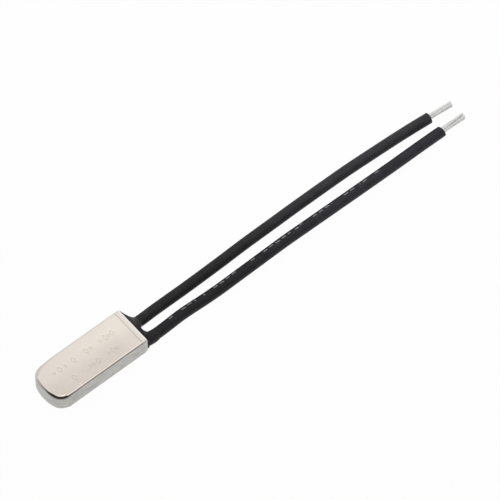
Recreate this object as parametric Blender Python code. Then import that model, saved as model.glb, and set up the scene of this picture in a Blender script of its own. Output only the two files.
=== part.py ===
"""A snap-action thermal protector in a drawn metal can, with two insulated leads.

Metres, +Z up.  The origin is the middle of the can's flat underside.  The leads leave the
can's open end along +X and come down to lie on the surface that the can stands on.
"""

import math

import bmesh
import bpy
from mathutils import Vector

MM = 0.001

# The drawn can: plan size, wall, and the roundings of its closed end, edges and rim
CASE_LENGTH = 20.0 * MM
CASE_WIDTH = 8.1 * MM
CASE_HEIGHT = 3.9 * MM
CASE_WALL = 0.30 * MM
CASE_CORNER_RADIUS = 2.8 * MM
CASE_END_RADIUS = 9.0 * MM
CASE_EDGE_RADIUS = 0.35 * MM
CASE_INNER_EDGE_RADIUS = 0.12 * MM
CASE_RIM_RADIUS = 0.22 * MM

# The insulating film sleeve that lines the can
SLEEVE_GAP = 0.05 * MM
SLEEVE_FILM = 0.12 * MM
SLEEVE_EDGE_RADIUS = 0.10 * MM
SLEEVE_SETBACK = 2.7 * MM

# The moulded tray that carries the mechanism
TRAY_GAP = 0.06 * MM
TRAY_WALL = 0.50 * MM
TRAY_FLOOR = 0.36 * MM
TRAY_EDGE_RADIUS = 0.15 * MM
TRAY_SETBACK = 2.8 * MM
TRAY_END_WALL = 0.55 * MM
TRAY_RIB_LEAD = 0.30 * MM
TRAY_RIB_WIDTH = 0.50 * MM
TRAY_RIB_HEIGHT = 2.0 * MM
WIRE_SLOT_WIDTH = 1.30 * MM
PEDESTAL_LENGTH = 1.95 * MM
PEDESTAL_HALF_WIDTH = 0.95 * MM
PEDESTAL_CORNER = 0.25 * MM
STAKE_DIAMETER = 0.60 * MM
STAKE_HEAD_DIAMETER = 1.05 * MM
STAKE_HEAD_HEIGHT = 0.22 * MM

# Fits: the running gap between pieces that seat on each other, and round a pin in its hole
SEAT = 0.02 * MM
HOLE_GAP = 0.04 * MM

# Stamped terminals, both of the same strip, each with a rolled crimp barrel
STRIP_THICKNESS = 0.25 * MM
TRACK_PEDESTAL_GAP = 0.20 * MM
TRACK_WALL_GAP = 0.27 * MM
CONTACT_PAD_RADIUS = 1.45 * MM
CRIMP_NECK_WIDTH = 0.90 * MM
CRIMP_NECK_LENGTH = 0.84 * MM
CRIMP_SETBACK = 3.2 * MM
CRIMP_WALL_GAP = 0.25 * MM
CRIMP_LENGTH = 2.2 * MM
CRIMP_BORE_RADIUS = 0.55 * MM
CRIMP_FLARE = 0.05 * MM
CRIMP_FLARE_LENGTH = 0.35 * MM
CRIMP_LIFT = 0.07 * MM
CRIMP_SEAM = 0.16 * MM
CLAMP_PLATE_LENGTH = 2.05 * MM
JOGGLE_FOOT_LENGTH = 0.49 * MM

# Contact rivets
CONTACT_FROM_END = 3.0 * MM
CONTACT_HEAD_RADIUS = 0.95 * MM
CONTACT_HEAD_HEIGHT = 0.28 * MM
CONTACT_CROWN = 0.06 * MM
CONTACT_SHANK_RADIUS = 0.40 * MM
CONTACT_TAIL_RADIUS = 0.60 * MM
CONTACT_TAIL_HEIGHT = 0.12 * MM

# The spring arm, which turns about the front edge of its clamp
ARM_PIVOT_SETBACK = 6.7 * MM
ARM_THICKNESS = 0.12 * MM
ARM_TAB_LENGTH = 1.5 * MM
ARM_TAB_HALF_WIDTH = 0.90 * MM
ARM_TAB_UNDER_GAP = 0.11 * MM
ARM_HEAD_FRONT = 1.10 * MM
ARM_HEAD_HALF_WIDTH = 1.15 * MM
ARM_SIDE_GAP = 0.72 * MM
ARM_CORNER = 0.20 * MM
ARM_SLOT_LENGTH = 1.10 * MM
ARM_SLOT_HALF_WIDTH = 0.30 * MM

# The dished bimetal plate and the claws that hold it on the arm
DISC_FROM_CONTACT = 1.50 * MM
DISC_FROM_PIVOT = 1.30 * MM
DISC_SIDE_MARGIN = 0.20 * MM
DISC_CORNER = 0.60 * MM
DISC_THICKNESS = 0.18 * MM
DISC_CROWN = 0.22 * MM
DISC_DISH_RADIUS = 1.90 * MM
CLAW_GAP = 0.10 * MM
CLAW_REACH = 0.45 * MM
CLAW_WIDTH = 0.60 * MM
CLAW_SPREAD = 1.15 * MM

# The rivet that clamps the arm and its terminal to the tray's pedestal
RIVET_SETBACK = 0.80 * MM
RIVET_RADIUS = 0.50 * MM
RIVET_HEAD_RADIUS = 0.95 * MM
RIVET_HEAD_HEIGHT = 0.34 * MM
RIVET_TAIL_RADIUS = 0.90 * MM
RIVET_TAIL_HEIGHT = 0.24 * MM

# Leads: insulation, stranded core, stripped tips
LEAD_DIAMETER = 2.1 * MM
LEAD_POINT_SPACING = 4.3 * MM
CORE_DIAMETER = 1.02 * MM
CORE_STRANDS = 7
CORE_GROOVE = 0.07 * MM
CORE_LAY = 9.0 * MM
CORE_INSET = 0.10 * MM
CORE_LEAD_GAP = 0.18 * MM
LEAD_SETBACK = 2.5 * MM
TIP_LENGTH = 5.0 * MM
TIP_DIAMETER = 1.0 * MM
TIP_TAPER = 0.15

# Routes of the leads' centre lines, in millimetres, each point chosen by hand: x from the
# can's mouth, y from the crimp barrel's axis, z above the axis of a lead that lies flat
LEAD_A_ROUTE = (
    (0.0, -0.86, 0.66),
    (2.5, -0.92, 0.42),
    (5.0, -0.72, 0.13),
    (8.0, -0.65, 0.02),
    (12.0, -0.64, 0.00),
    (16.0, -0.59, 0.00),
    (21.0, -0.48, 0.00),
    (26.0, -0.32, 0.00),
    (32.0, -0.25, 0.00),
    (38.0, -0.18, 0.00),
    (44.0, -0.17, 0.00),
    (50.0, -0.21, 0.00),
    (55.0, -0.38, 0.00),
    (60.0, -0.58, 0.00),
    (64.3, -0.82, 0.00),
    (68.4, -1.13, 0.00),
)
LEAD_B_ROUTE = (
    (0.0, -0.58, 0.58),
    (2.5, -0.83, 0.22),
    (5.5, -0.70, 0.03),
    (8.4, -0.57, 0.00),
    (11.0, -0.63, 0.00),
    (14.0, -0.76, 0.00),
    (17.2, -0.81, 0.00),
    (21.0, -0.75, 0.00),
    (26.0, -0.67, 0.00),
    (32.0, -0.58, 0.00),
    (37.0, -0.63, 0.00),
    (43.0, -0.70, 0.00),
    (50.0, -0.78, 0.00),
    (57.0, -0.84, 0.00),
    (63.0, -0.83, 0.00),
    (68.4, -0.88, 0.00),
)

# The fibre dam that keeps the potting out of the mechanism
DAM_SETBACK = 2.05 * MM
DAM_THICKNESS = 0.50 * MM

# The potting that seals the can's mouth and climbs the leads
SEAL_GAP = 0.04 * MM
SEAL_RISE = 0.95 * MM
SEAL_CLIMB = 0.75 * MM
SEAL_CLIMB_REACH = 0.50 * MM
SEAL_MESH_STEP = 0.40 * MM

# Facet counts
CORNER_STEPS = 9
END_STEPS = 7
EDGE_STEPS = 4
RIM_STEPS = 3
ROUND_SIDES = 24
SMALL_CORNER_STEPS = 3
HOLE_SIDES = 20
ROUTE_STEPS = 20
CORE_RINGS = 9
SHARP_ANGLE = math.radians(35)
OVERSHOOT = 1.0 * MM
TINY = 0.001 * MM

# Heights of the stack, each worked out from the piece below it
TRAY_INSET = CASE_WALL + SLEEVE_GAP + SLEEVE_FILM + TRAY_GAP
TRAY_LOW = TRAY_INSET
TRAY_HIGH = CASE_HEIGHT - TRAY_INSET
FLOOR_TOP = TRAY_LOW + TRAY_FLOOR
STRIP_LOW = FLOOR_TOP + SEAT
STRIP_TOP = STRIP_LOW + STRIP_THICKNESS
FIXED_HEAD_LOW = STRIP_TOP + SEAT
FIXED_HEAD_TOP = FIXED_HEAD_LOW + CONTACT_HEAD_HEIGHT
MOVING_HEAD_LOW = FIXED_HEAD_TOP + SEAT
MOVING_HEAD_TOP = MOVING_HEAD_LOW + CONTACT_HEAD_HEIGHT
ARM_LOW = MOVING_HEAD_TOP + SEAT
ARM_TOP = ARM_LOW + ARM_THICKNESS
DISC_LOW = ARM_TOP + SEAT
CLAMP_LOW = ARM_TOP + SEAT
CLAMP_TOP = CLAMP_LOW + STRIP_THICKNESS
PEDESTAL_TOP = ARM_LOW - ARM_TAB_UNDER_GAP
CRIMP_RADIUS = CRIMP_BORE_RADIUS + STRIP_THICKNESS
CRIMP_HEIGHT = STRIP_LOW + CRIMP_LIFT + CRIMP_RADIUS

# Places along the can, from its mouth or from its closed end
MOUTH = CASE_LENGTH / 2
SLEEVE_END = MOUTH - SLEEVE_SETBACK
TRAY_END = MOUTH - TRAY_SETBACK
LEAD_START = MOUTH - LEAD_SETBACK
DAM_START = MOUTH - DAM_SETBACK
SEAL_START = DAM_START + DAM_THICKNESS + SEAT
CRIMP_START = TRAY_END - CRIMP_SETBACK
CONTACT_X = CONTACT_FROM_END - CASE_LENGTH / 2
PIVOT_X = TRAY_END - ARM_PIVOT_SETBACK
RIVET_X = PIVOT_X + RIVET_SETBACK
ARM_PIVOT = Vector((PIVOT_X, 0.0, (ARM_LOW + ARM_TOP) / 2))
DISC_FRONT = CONTACT_X + DISC_FROM_CONTACT
DISC_BACK = PIVOT_X - DISC_FROM_PIVOT
DISC_CENTRE_X = (DISC_FRONT + DISC_BACK) / 2
DISC_HALF_LENGTH = (DISC_BACK - DISC_FRONT) / 2

# Places across the can, from the tray's inner walls
ROOM = CASE_WIDTH / 2 - TRAY_INSET - TRAY_WALL
TRACK_INNER_EDGE = PEDESTAL_HALF_WIDTH + TRACK_PEDESTAL_GAP
TRACK_OUTER_EDGE = ROOM - TRACK_WALL_GAP
TRACK_WIDTH = TRACK_OUTER_EDGE - TRACK_INNER_EDGE
TRACK_Y = (TRACK_INNER_EDGE + TRACK_OUTER_EDGE) / 2
TRACK_START = CONTACT_X + 2 * CONTACT_PAD_RADIUS
TRACK_END = CRIMP_START - CRIMP_NECK_LENGTH
STAKE_PLACES = (TRACK_START + STAKE_HEAD_DIAMETER, TRACK_END - STAKE_HEAD_DIAMETER)
CRIMP_Y = ROOM - CRIMP_RADIUS - CRIMP_FLARE - CRIMP_WALL_GAP
ARM_BODY_HALF_WIDTH = ROOM - ARM_SIDE_GAP
DISC_HALF_WIDTH = ARM_BODY_HALF_WIDTH - DISC_SIDE_MARGIN


def clear_scene():
    for item in list(bpy.data.objects):
        bpy.data.objects.remove(item, do_unlink=True)


def make_material(name, colour, roughness, metallic):
    material = bpy.data.materials.new(name)
    material.use_nodes = True
    shader = material.node_tree.nodes["Principled BSDF"]
    shader.inputs["Base Color"].default_value = (*colour, 1.0)
    shader.inputs["Roughness"].default_value = roughness
    shader.inputs["Metallic"].default_value = metallic
    return material


def add_object(name, shape, material):
    """Turn a bmesh into a named object, smooth on its round stretches."""
    bmesh.ops.recalc_face_normals(shape, faces=shape.faces)
    mesh = bpy.data.meshes.new(name)
    shape.to_mesh(mesh)
    shape.free()
    mesh.materials.append(material)
    mesh.shade_smooth()
    mesh.set_sharp_from_angle(angle=SHARP_ANGLE)
    item = bpy.data.objects.new(name, mesh)
    bpy.context.collection.objects.link(item)
    return item


def combine(target, operation, name, shape):
    """Add or cut a hidden helper solid."""
    helper = add_object(name, shape, target.data.materials[0])
    helper.hide_render = True
    helper.display_type = "WIRE"
    modifier = target.modifiers.new(name, "BOOLEAN")
    modifier.operation = operation
    modifier.object = helper
    modifier.solver = "EXACT"


def hang_on(item, pivot):
    """Parent a piece to the pivot and put its origin on the pivot's axis."""
    for vertex in item.data.vertices:
        vertex.co -= pivot.location
    item.parent = pivot


def loft(rings):
    """A closed skin through rings of equally many points, with a flat cap at each end."""
    shape = bmesh.new()
    loops = [[shape.verts.new(point) for point in ring] for ring in rings]
    for lower, upper in zip(loops, loops[1:]):
        for index, corner in enumerate(lower):
            following = (index + 1) % len(lower)
            shape.faces.new((corner, lower[following], upper[following], upper[index]))
    shape.faces.new(loops[0][::-1])
    shape.faces.new(loops[-1])
    return shape


def merge(*shapes):
    """Several separate solids in one bmesh."""
    whole = bmesh.new()
    for shape in shapes:
        mesh = bpy.data.meshes.new("merged")
        shape.to_mesh(mesh)
        shape.free()
        whole.from_mesh(mesh)
        bpy.data.meshes.remove(mesh)
    return whole


def arc(centre_x, centre_y, radius, start, stop, steps):
    points = []
    for step in range(steps + 1):
        angle = start + (stop - start) * step / steps
        points.append((centre_x + radius * math.cos(angle), centre_y + radius * math.sin(angle)))
    return points


def plate(outline, low, high, corner):
    """A flat plate from a plan outline, its corners rounded."""
    shape = bmesh.new()
    shape.faces.new([shape.verts.new((x, y, low)) for x, y in outline])
    bmesh.ops.bevel(
        shape,
        geom=shape.verts[:],
        offset=corner,
        segments=SMALL_CORNER_STEPS,
        profile=0.5,
        affect="VERTICES",
    )
    region = bmesh.ops.extrude_face_region(shape, geom=shape.faces[:])
    raised = [item for item in region["geom"] if isinstance(item, bmesh.types.BMVert)]
    bmesh.ops.translate(shape, verts=raised, vec=(0.0, 0.0, high - low))
    return shape


def block(x_low, x_high, y_low, y_high, z_low, z_high, corner):
    outline = ((x_low, y_low), (x_high, y_low), (x_high, y_high), (x_low, y_high))
    return plate(outline, z_low, z_high, corner)


def side_profile(points, y_low, y_high):
    """A prism across Y from a side outline of x and z."""
    return loft([[(x, y, z) for x, z in points] for y in (y_low, y_high)])


def turned(profile, x, y, sides=ROUND_SIDES):
    """A round solid on an upright axis, from its radii and heights."""
    rings = []
    for radius, height in profile:
        circle = arc(x, y, radius, 0.0, math.tau, sides)[:-1]
        rings.append([(px, py, height) for px, py in circle])
    return loft(rings)


def pin(x, y, radius, low, high):
    return turned(((radius, low), (radius, high)), x, y)


def case_outline(inset, open_x):
    """The can's plan outline, offset inward: two corner arcs tangent to the end's arc."""
    corner_y = CASE_WIDTH / 2 - CASE_CORNER_RADIUS
    end_x = CASE_END_RADIUS - CASE_LENGTH / 2
    reach = CASE_END_RADIUS - CASE_CORNER_RADIUS
    corner_x = end_x - math.sqrt(reach**2 - corner_y**2)
    tangent = math.atan2(corner_y, end_x - corner_x)
    corner = CASE_CORNER_RADIUS - inset
    end = CASE_END_RADIUS - inset
    points = [(open_x, CASE_WIDTH / 2 - inset)]
    points += arc(corner_x, corner_y, corner, math.pi / 2, math.pi - tangent, CORNER_STEPS)
    points += arc(end_x, 0.0, end, math.pi - tangent, math.pi + tangent, END_STEPS)[1:-1]
    points += arc(corner_x, -corner_y, corner, math.pi + tangent, math.pi * 1.5, CORNER_STEPS)
    points.append((open_x, inset - CASE_WIDTH / 2))
    return points


def case_form(inset, open_x, low, high, edge):
    """A solid with the can's plan, its lower and upper edges rounded."""
    levels = []
    for step in range(EDGE_STEPS + 1):
        angle = math.pi / 2 * step / EDGE_STEPS
        levels.append((edge * (1 - math.cos(angle)), edge * (1 - math.sin(angle))))
    lower = [(low + rise, inset + shrink) for rise, shrink in levels]
    upper = [(high - rise, inset + shrink) for rise, shrink in reversed(levels)]
    rings = []
    for height, ring_inset in lower + upper:
        rings.append([(x, y, height) for x, y in case_outline(ring_inset, open_x)])
    return loft(rings)


def round_rim(shape, open_x):
    """Round the outer edge of the open end."""
    mouth = [face for face in shape.faces if all(abs(v.co.x - open_x) < TINY for v in face.verts)]
    rim = bmesh.ops.dissolve_faces(shape, faces=mouth)["region"][0]
    bmesh.ops.bevel(
        shape,
        geom=rim.edges[:],
        offset=CASE_RIM_RADIUS,
        segments=RIM_STEPS,
        profile=0.5,
        affect="EDGES",
        clamp_overlap=False,
    )
    return shape


def make_case(material):
    outer = round_rim(case_form(0.0, MOUTH, 0.0, CASE_HEIGHT, CASE_EDGE_RADIUS), MOUTH)
    case = add_object("case", outer, material)
    hollow = case_form(
        CASE_WALL,
        MOUTH + OVERSHOOT,
        CASE_WALL,
        CASE_HEIGHT - CASE_WALL,
        CASE_INNER_EDGE_RADIUS,
    )
    combine(case, "DIFFERENCE", "case_hollow", hollow)


def make_sleeve(material):
    outer = CASE_WALL + SLEEVE_GAP
    inner = outer + SLEEVE_FILM
    skin = case_form(outer, SLEEVE_END, outer, CASE_HEIGHT - outer, SLEEVE_EDGE_RADIUS)
    sleeve = add_object("insulating_sleeve", skin, material)
    hollow = case_form(
        inner,
        SLEEVE_END + OVERSHOOT,
        inner,
        CASE_HEIGHT - inner,
        SLEEVE_EDGE_RADIUS / 2,
    )
    combine(sleeve, "DIFFERENCE", "sleeve_hollow", hollow)


def stake(x):
    """A post of the tray that passes through the fixed terminal and ends in a formed head."""
    root = FLOOR_TOP - TRAY_FLOOR / 2
    head_low = STRIP_TOP + SEAT
    head_top = head_low + STAKE_HEAD_HEIGHT
    shank = STAKE_DIAMETER / 2
    head = STAKE_HEAD_DIAMETER / 2
    profile = (
        (shank, root),
        (shank, head_low),
        (head, head_low),
        (head, head_low + STAKE_HEAD_HEIGHT / 2),
        (head * 0.7, head_top),
    )
    return turned(profile, x, TRACK_Y)


def wire_slot(y):
    """A round-bottomed slot in the tray's end wall, open upward so a crimped lead drops in."""
    radius = WIRE_SLOT_WIDTH / 2
    outline = arc(y, CRIMP_HEIGHT, radius, math.pi, math.tau, ROUND_SIDES // 2)
    outline += [(y + radius, TRAY_HIGH + OVERSHOOT), (y - radius, TRAY_HIGH + OVERSHOOT)]
    ends = (TRAY_END - TRAY_END_WALL - OVERSHOOT / 4, TRAY_END + OVERSHOOT)
    return loft([[(x, py, pz) for py, pz in outline] for x in ends])


def make_tray(material):
    body = case_form(TRAY_INSET, TRAY_END, TRAY_LOW, TRAY_HIGH, TRAY_EDGE_RADIUS)
    tray = add_object("base_tray", body, material)

    inner_end = TRAY_END - TRAY_END_WALL
    outline = case_outline(TRAY_INSET + TRAY_WALL, inner_end)
    heights = (FLOOR_TOP, TRAY_HIGH + OVERSHOOT)
    cavity = loft([[(x, y, height) for x, y in outline] for height in heights])
    combine(tray, "DIFFERENCE", "tray_cavity", cavity)

    sunk = FLOOR_TOP - TRAY_FLOOR / 2
    pedestal = block(
        PIVOT_X,
        PIVOT_X + PEDESTAL_LENGTH,
        -PEDESTAL_HALF_WIDTH,
        PEDESTAL_HALF_WIDTH,
        sunk,
        PEDESTAL_TOP,
        PEDESTAL_CORNER,
    )
    rib = block(
        CRIMP_START - TRAY_RIB_LEAD,
        inner_end + TRAY_END_WALL / 2,
        -TRAY_RIB_WIDTH / 2,
        TRAY_RIB_WIDTH / 2,
        sunk,
        FLOOR_TOP + TRAY_RIB_HEIGHT,
        TRAY_RIB_WIDTH / 4,
    )
    stakes = [stake(x) for x in STAKE_PLACES]
    combine(tray, "UNION", "tray_details", merge(pedestal, rib, *stakes))

    bore = RIVET_RADIUS + HOLE_GAP
    counterbore = RIVET_TAIL_RADIUS + HOLE_GAP
    shoulder = TRAY_LOW + RIVET_TAIL_HEIGHT + 2 * SEAT
    rivet_hole = turned(
        (
            (counterbore, TRAY_LOW - OVERSHOOT),
            (counterbore, shoulder),
            (bore, shoulder),
            (bore, PEDESTAL_TOP + OVERSHOOT),
        ),
        RIVET_X,
        0.0,
    )
    cuts = merge(rivet_hole, wire_slot(CRIMP_Y), wire_slot(-CRIMP_Y))
    combine(tray, "DIFFERENCE", "tray_cuts", cuts)


def strip(stations, thickness):
    """A stamped strip bent along X: stations give x, underside height and both edges' y."""
    path = [Vector((x, 0.0, z)) for x, z, _, _ in stations]
    rings = []
    for index, (x, z, y_low, y_high) in enumerate(stations):
        before = (path[index] - path[max(index - 1, 0)]).normalized()
        after = (path[min(index + 1, len(path) - 1)] - path[index]).normalized()
        along = (before + after).normalized()
        leg = after if after.length else before
        mitre = thickness / max(along.dot(leg), 0.5)
        lift = Vector((-along.z, 0.0, along.x)) * mitre
        top_x, top_z = x + lift.x, z + lift.z
        rings.append(((x, y_low, z), (x, y_high, z), (top_x, y_high, top_z), (top_x, y_low, top_z)))
    return loft(rings)


def crimp_barrel(y):
    """A rolled barrel with a seam on top and a flare at each end."""
    half_seam = CRIMP_SEAM / 2 / CRIMP_RADIUS
    start = math.pi / 2 + half_seam
    stop = math.pi / 2 + math.tau - half_seam
    end = CRIMP_START + CRIMP_LENGTH
    stations = (
        (CRIMP_START, CRIMP_FLARE),
        (CRIMP_START + CRIMP_FLARE_LENGTH, 0.0),
        (end - CRIMP_FLARE_LENGTH, 0.0),
        (end, CRIMP_FLARE),
    )
    rings = []
    for x, flare in stations:
        outer = arc(y, CRIMP_HEIGHT, CRIMP_RADIUS + flare, start, stop, ROUND_SIDES)
        inner = arc(y, CRIMP_HEIGHT, CRIMP_BORE_RADIUS + flare, stop, start, ROUND_SIDES)
        rings.append([(x, py, pz) for py, pz in outer + inner])
    return loft(rings)


def crimp_neck(y):
    """Stations of the narrow neck that runs under the barrel."""
    half = CRIMP_NECK_WIDTH / 2
    return [
        (CRIMP_START - CRIMP_FLARE_LENGTH, STRIP_LOW, y - half, y + half),
        (CRIMP_START + 2 * CRIMP_FLARE_LENGTH, STRIP_LOW, y - half, y + half),
    ]


def make_fixed_terminal(material):
    """Round contact pad, a track along one side of the pedestal, and a crimp barrel."""
    stations = []
    for angle in (15, 35, 60, 90):
        x = CONTACT_X - CONTACT_PAD_RADIUS * math.cos(math.radians(angle))
        half = CONTACT_PAD_RADIUS * math.sin(math.radians(angle))
        stations.append((x, STRIP_LOW, -half, half))
    stations += [
        (CONTACT_X + CONTACT_PAD_RADIUS / 2, STRIP_LOW, -CONTACT_PAD_RADIUS, CONTACT_PAD_RADIUS),
        (TRACK_START - TRACK_WIDTH / 2, STRIP_LOW, 0.0, TRACK_OUTER_EDGE),
        (TRACK_START, STRIP_LOW, TRACK_INNER_EDGE, TRACK_OUTER_EDGE),
        (TRACK_END, STRIP_LOW, TRACK_INNER_EDGE, TRACK_OUTER_EDGE),
    ]
    stations += crimp_neck(CRIMP_Y)
    terminal = add_object("fixed_terminal", strip(stations, STRIP_THICKNESS), material)
    combine(terminal, "UNION", "fixed_terminal_barrel", crimp_barrel(CRIMP_Y))
    low = STRIP_LOW - OVERSHOOT
    high = STRIP_TOP + OVERSHOOT
    holes = [pin(x, TRACK_Y, STAKE_DIAMETER / 2 + HOLE_GAP, low, high) for x in STAKE_PLACES]
    holes.append(pin(CONTACT_X, 0.0, CONTACT_SHANK_RADIUS + HOLE_GAP, low, high))
    combine(terminal, "DIFFERENCE", "fixed_terminal_holes", merge(*holes))


def make_moving_terminal(material):
    """Clamp plate over the arm's tab, a joggle down beside the pedestal, and a crimp barrel."""
    half = PEDESTAL_HALF_WIDTH
    neck = CRIMP_NECK_WIDTH / 2
    plate_end = PIVOT_X + CLAMP_PLATE_LENGTH
    stations = [
        (PIVOT_X, CLAMP_LOW, -half, half),
        (plate_end - half / 2, CLAMP_LOW, -half, half),
        (plate_end, CLAMP_LOW, -half - neck / 2, half / 2),
        (CRIMP_START - JOGGLE_FOOT_LENGTH, STRIP_LOW, -CRIMP_Y - neck, neck - CRIMP_Y),
    ]
    stations += crimp_neck(-CRIMP_Y)
    terminal = add_object("moving_terminal", strip(stations, STRIP_THICKNESS), material)
    combine(terminal, "UNION", "moving_terminal_barrel", crimp_barrel(-CRIMP_Y))
    hole = pin(RIVET_X, 0.0, RIVET_RADIUS + HOLE_GAP, CLAMP_LOW - OVERSHOOT, CLAMP_TOP + OVERSHOOT)
    combine(terminal, "DIFFERENCE", "moving_terminal_hole", hole)


def make_fixed_contact(material):
    profile = (
        (CONTACT_SHANK_RADIUS, STRIP_LOW),
        (CONTACT_SHANK_RADIUS, FIXED_HEAD_LOW),
        (CONTACT_HEAD_RADIUS, FIXED_HEAD_LOW),
        (CONTACT_HEAD_RADIUS, FIXED_HEAD_TOP - CONTACT_CROWN),
        (CONTACT_HEAD_RADIUS * 0.75, FIXED_HEAD_TOP),
    )
    add_object("fixed_contact", turned(profile, CONTACT_X, 0.0), material)


def make_moving_contact(material, pivot):
    tail_low = ARM_TOP + SEAT
    profile = (
        (CONTACT_HEAD_RADIUS * 0.75, MOVING_HEAD_LOW),
        (CONTACT_HEAD_RADIUS, MOVING_HEAD_LOW + CONTACT_CROWN),
        (CONTACT_HEAD_RADIUS, MOVING_HEAD_TOP),
        (CONTACT_SHANK_RADIUS, MOVING_HEAD_TOP),
        (CONTACT_SHANK_RADIUS, tail_low),
        (CONTACT_TAIL_RADIUS, tail_low),
        (CONTACT_TAIL_RADIUS * 0.8, tail_low + CONTACT_TAIL_HEIGHT),
    )
    contact = add_object("moving_contact", turned(profile, CONTACT_X, 0.0), material)
    hang_on(contact, pivot)


def claw(side, y):
    """A hook folded up from the arm's edge and over the bimetal plate; side is -1 in front."""
    gap = 2 * SEAT
    inner = DISC_CENTRE_X + side * (DISC_HALF_LENGTH + gap)
    outer = inner + side * ARM_THICKNESS
    lip = inner - side * (CLAW_REACH + gap)
    under = DISC_LOW + DISC_THICKNESS + CLAW_GAP
    top = under + ARM_THICKNESS
    points = ((inner, ARM_LOW), (inner, under), (lip, under), (lip, top), (outer, top), (outer, ARM_LOW))
    return side_profile(points, y - CLAW_WIDTH / 2, y + CLAW_WIDTH / 2)


def make_contact_arm(material, pivot):
    """Leaf spring: contact head, wide bed for the bimetal, slotted neck, and clamped tab."""
    front = CONTACT_X - ARM_HEAD_FRONT
    bed_margin = 2 * SEAT + ARM_THICKNESS
    bed_front = DISC_CENTRE_X - DISC_HALF_LENGTH - bed_margin
    bed_back = DISC_CENTRE_X + DISC_HALF_LENGTH + bed_margin
    tab_end = PIVOT_X + ARM_TAB_LENGTH
    half = (
        (front, ARM_HEAD_HALF_WIDTH),
        (bed_front - ARM_CORNER, ARM_HEAD_HALF_WIDTH),
        (bed_front, ARM_BODY_HALF_WIDTH),
        (bed_back, ARM_BODY_HALF_WIDTH),
        (bed_back + ARM_CORNER, ARM_TAB_HALF_WIDTH),
        (tab_end, ARM_TAB_HALF_WIDTH),
    )
    outline = list(half) + [(x, -y) for x, y in reversed(half)]
    leaf = plate(outline, ARM_LOW, ARM_TOP, ARM_CORNER / 2)
    arm = add_object("contact_arm", leaf, material)
    places = [(side, y) for side in (-1, 1) for y in (-CLAW_SPREAD, CLAW_SPREAD)]
    for number, (side, y) in enumerate(places):
        combine(arm, "UNION", f"arm_claw_{number}", claw(side, y))
    low = ARM_LOW - OVERSHOOT
    high = ARM_TOP + OVERSHOOT
    slot = block(
        PIVOT_X - ARM_SLOT_LENGTH - SEAT,
        PIVOT_X - SEAT,
        -ARM_SLOT_HALF_WIDTH,
        ARM_SLOT_HALF_WIDTH,
        low,
        high,
        ARM_SLOT_HALF_WIDTH * 0.95,
    )
    contact_hole = pin(CONTACT_X, 0.0, CONTACT_SHANK_RADIUS + HOLE_GAP, low, high)
    rivet_hole = pin(RIVET_X, 0.0, RIVET_RADIUS + HOLE_GAP, low, high)
    combine(arm, "DIFFERENCE", "arm_holes", merge(slot, contact_hole, rivet_hole))
    for item in [arm] + [modifier.object for modifier in arm.modifiers]:
        hang_on(item, pivot)


def rounded_rectangle(half_x, half_y, radius, steps):
    points = []
    quarters = ((1, 1, 0.0), (-1, 1, 0.5), (-1, -1, 1.0), (1, -1, 1.5))
    for side_x, side_y, turn in quarters:
        start = math.pi * turn
        x = side_x * (half_x - radius)
        y = side_y * (half_y - radius)
        points += arc(x, y, radius, start, start + math.pi / 2, steps)
    return points


def make_bimetal_disc(material, pivot):
    """A plate with round corners, dished in the middle so that it snaps over when hot."""
    outline = rounded_rectangle(DISC_HALF_LENGTH, DISC_HALF_WIDTH, DISC_CORNER, 5)
    scales = (0.05, 0.2, 0.35, 0.5, 0.65, 0.8, 0.9, 1.0)

    def ring(scale, low):
        points = []
        for x, y in outline:
            reach = min(math.hypot(x, y) * scale / DISC_DISH_RADIUS, 1.0)
            rise = DISC_CROWN * 0.5 * (1 + math.cos(math.pi * reach))
            points.append((DISC_CENTRE_X + x * scale, y * scale, low + rise))
        return points

    top = [ring(scale, DISC_LOW + DISC_THICKNESS) for scale in scales]
    underside = [ring(scale, DISC_LOW) for scale in reversed(scales)]
    disc = add_object("bimetal_disc", loft(top + underside), material)
    hang_on(disc, pivot)


def make_arm_rivet(material):
    tail_top = TRAY_LOW + SEAT + RIVET_TAIL_HEIGHT
    head_low = CLAMP_TOP + SEAT
    head_top = head_low + RIVET_HEAD_HEIGHT
    profile = (
        (RIVET_TAIL_RADIUS * 0.9, TRAY_LOW + SEAT),
        (RIVET_TAIL_RADIUS, tail_top),
        (RIVET_RADIUS, tail_top),
        (RIVET_RADIUS, head_low),
        (RIVET_HEAD_RADIUS, head_low),
        (RIVET_HEAD_RADIUS * 0.96, head_low + RIVET_HEAD_HEIGHT * 0.45),
        (RIVET_HEAD_RADIUS * 0.78, head_low + RIVET_HEAD_HEIGHT * 0.8),
        (RIVET_HEAD_RADIUS * 0.45, head_top),
    )
    add_object("arm_rivet", turned(profile, RIVET_X, 0.0), material)


def smooth_route(side, route):
    """Points of a lead: its start behind the tray, then evenly spaced ones from the mouth on."""
    origin = Vector((MOUTH, side * CRIMP_Y, LEAD_DIAMETER / 2))
    start = Vector((LEAD_START, side * CRIMP_Y, CRIMP_HEIGHT))
    points = [start] + [origin + Vector(point) * MM for point in route]
    points.append(2 * points[-1] - points[-2])
    fine = []
    for p0, p1, p2, p3 in zip(points, points[1:], points[2:], points[3:]):
        for step in range(ROUTE_STEPS):
            t = step / ROUTE_STEPS
            bend = (2 * p0 - 5 * p1 + 4 * p2 - p3) * t**2 + (3 * p1 - p0 - 3 * p2 + p3) * t**3
            fine.append(p1 + ((p2 - p0) * t + bend) / 2)
    fine.append(points[-2])
    travelled = [0.0]
    for before, after in zip(fine, fine[1:]):
        travelled.append(travelled[-1] + (after - before).length)
    count = round(travelled[-1] / LEAD_POINT_SPACING)
    chosen = [start]
    for number in range(count + 1):
        wanted = travelled[-1] * number / count
        index = min(range(len(fine)), key=lambda place: abs(travelled[place] - wanted))
        chosen.append(fine[index])
    return chosen


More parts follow.
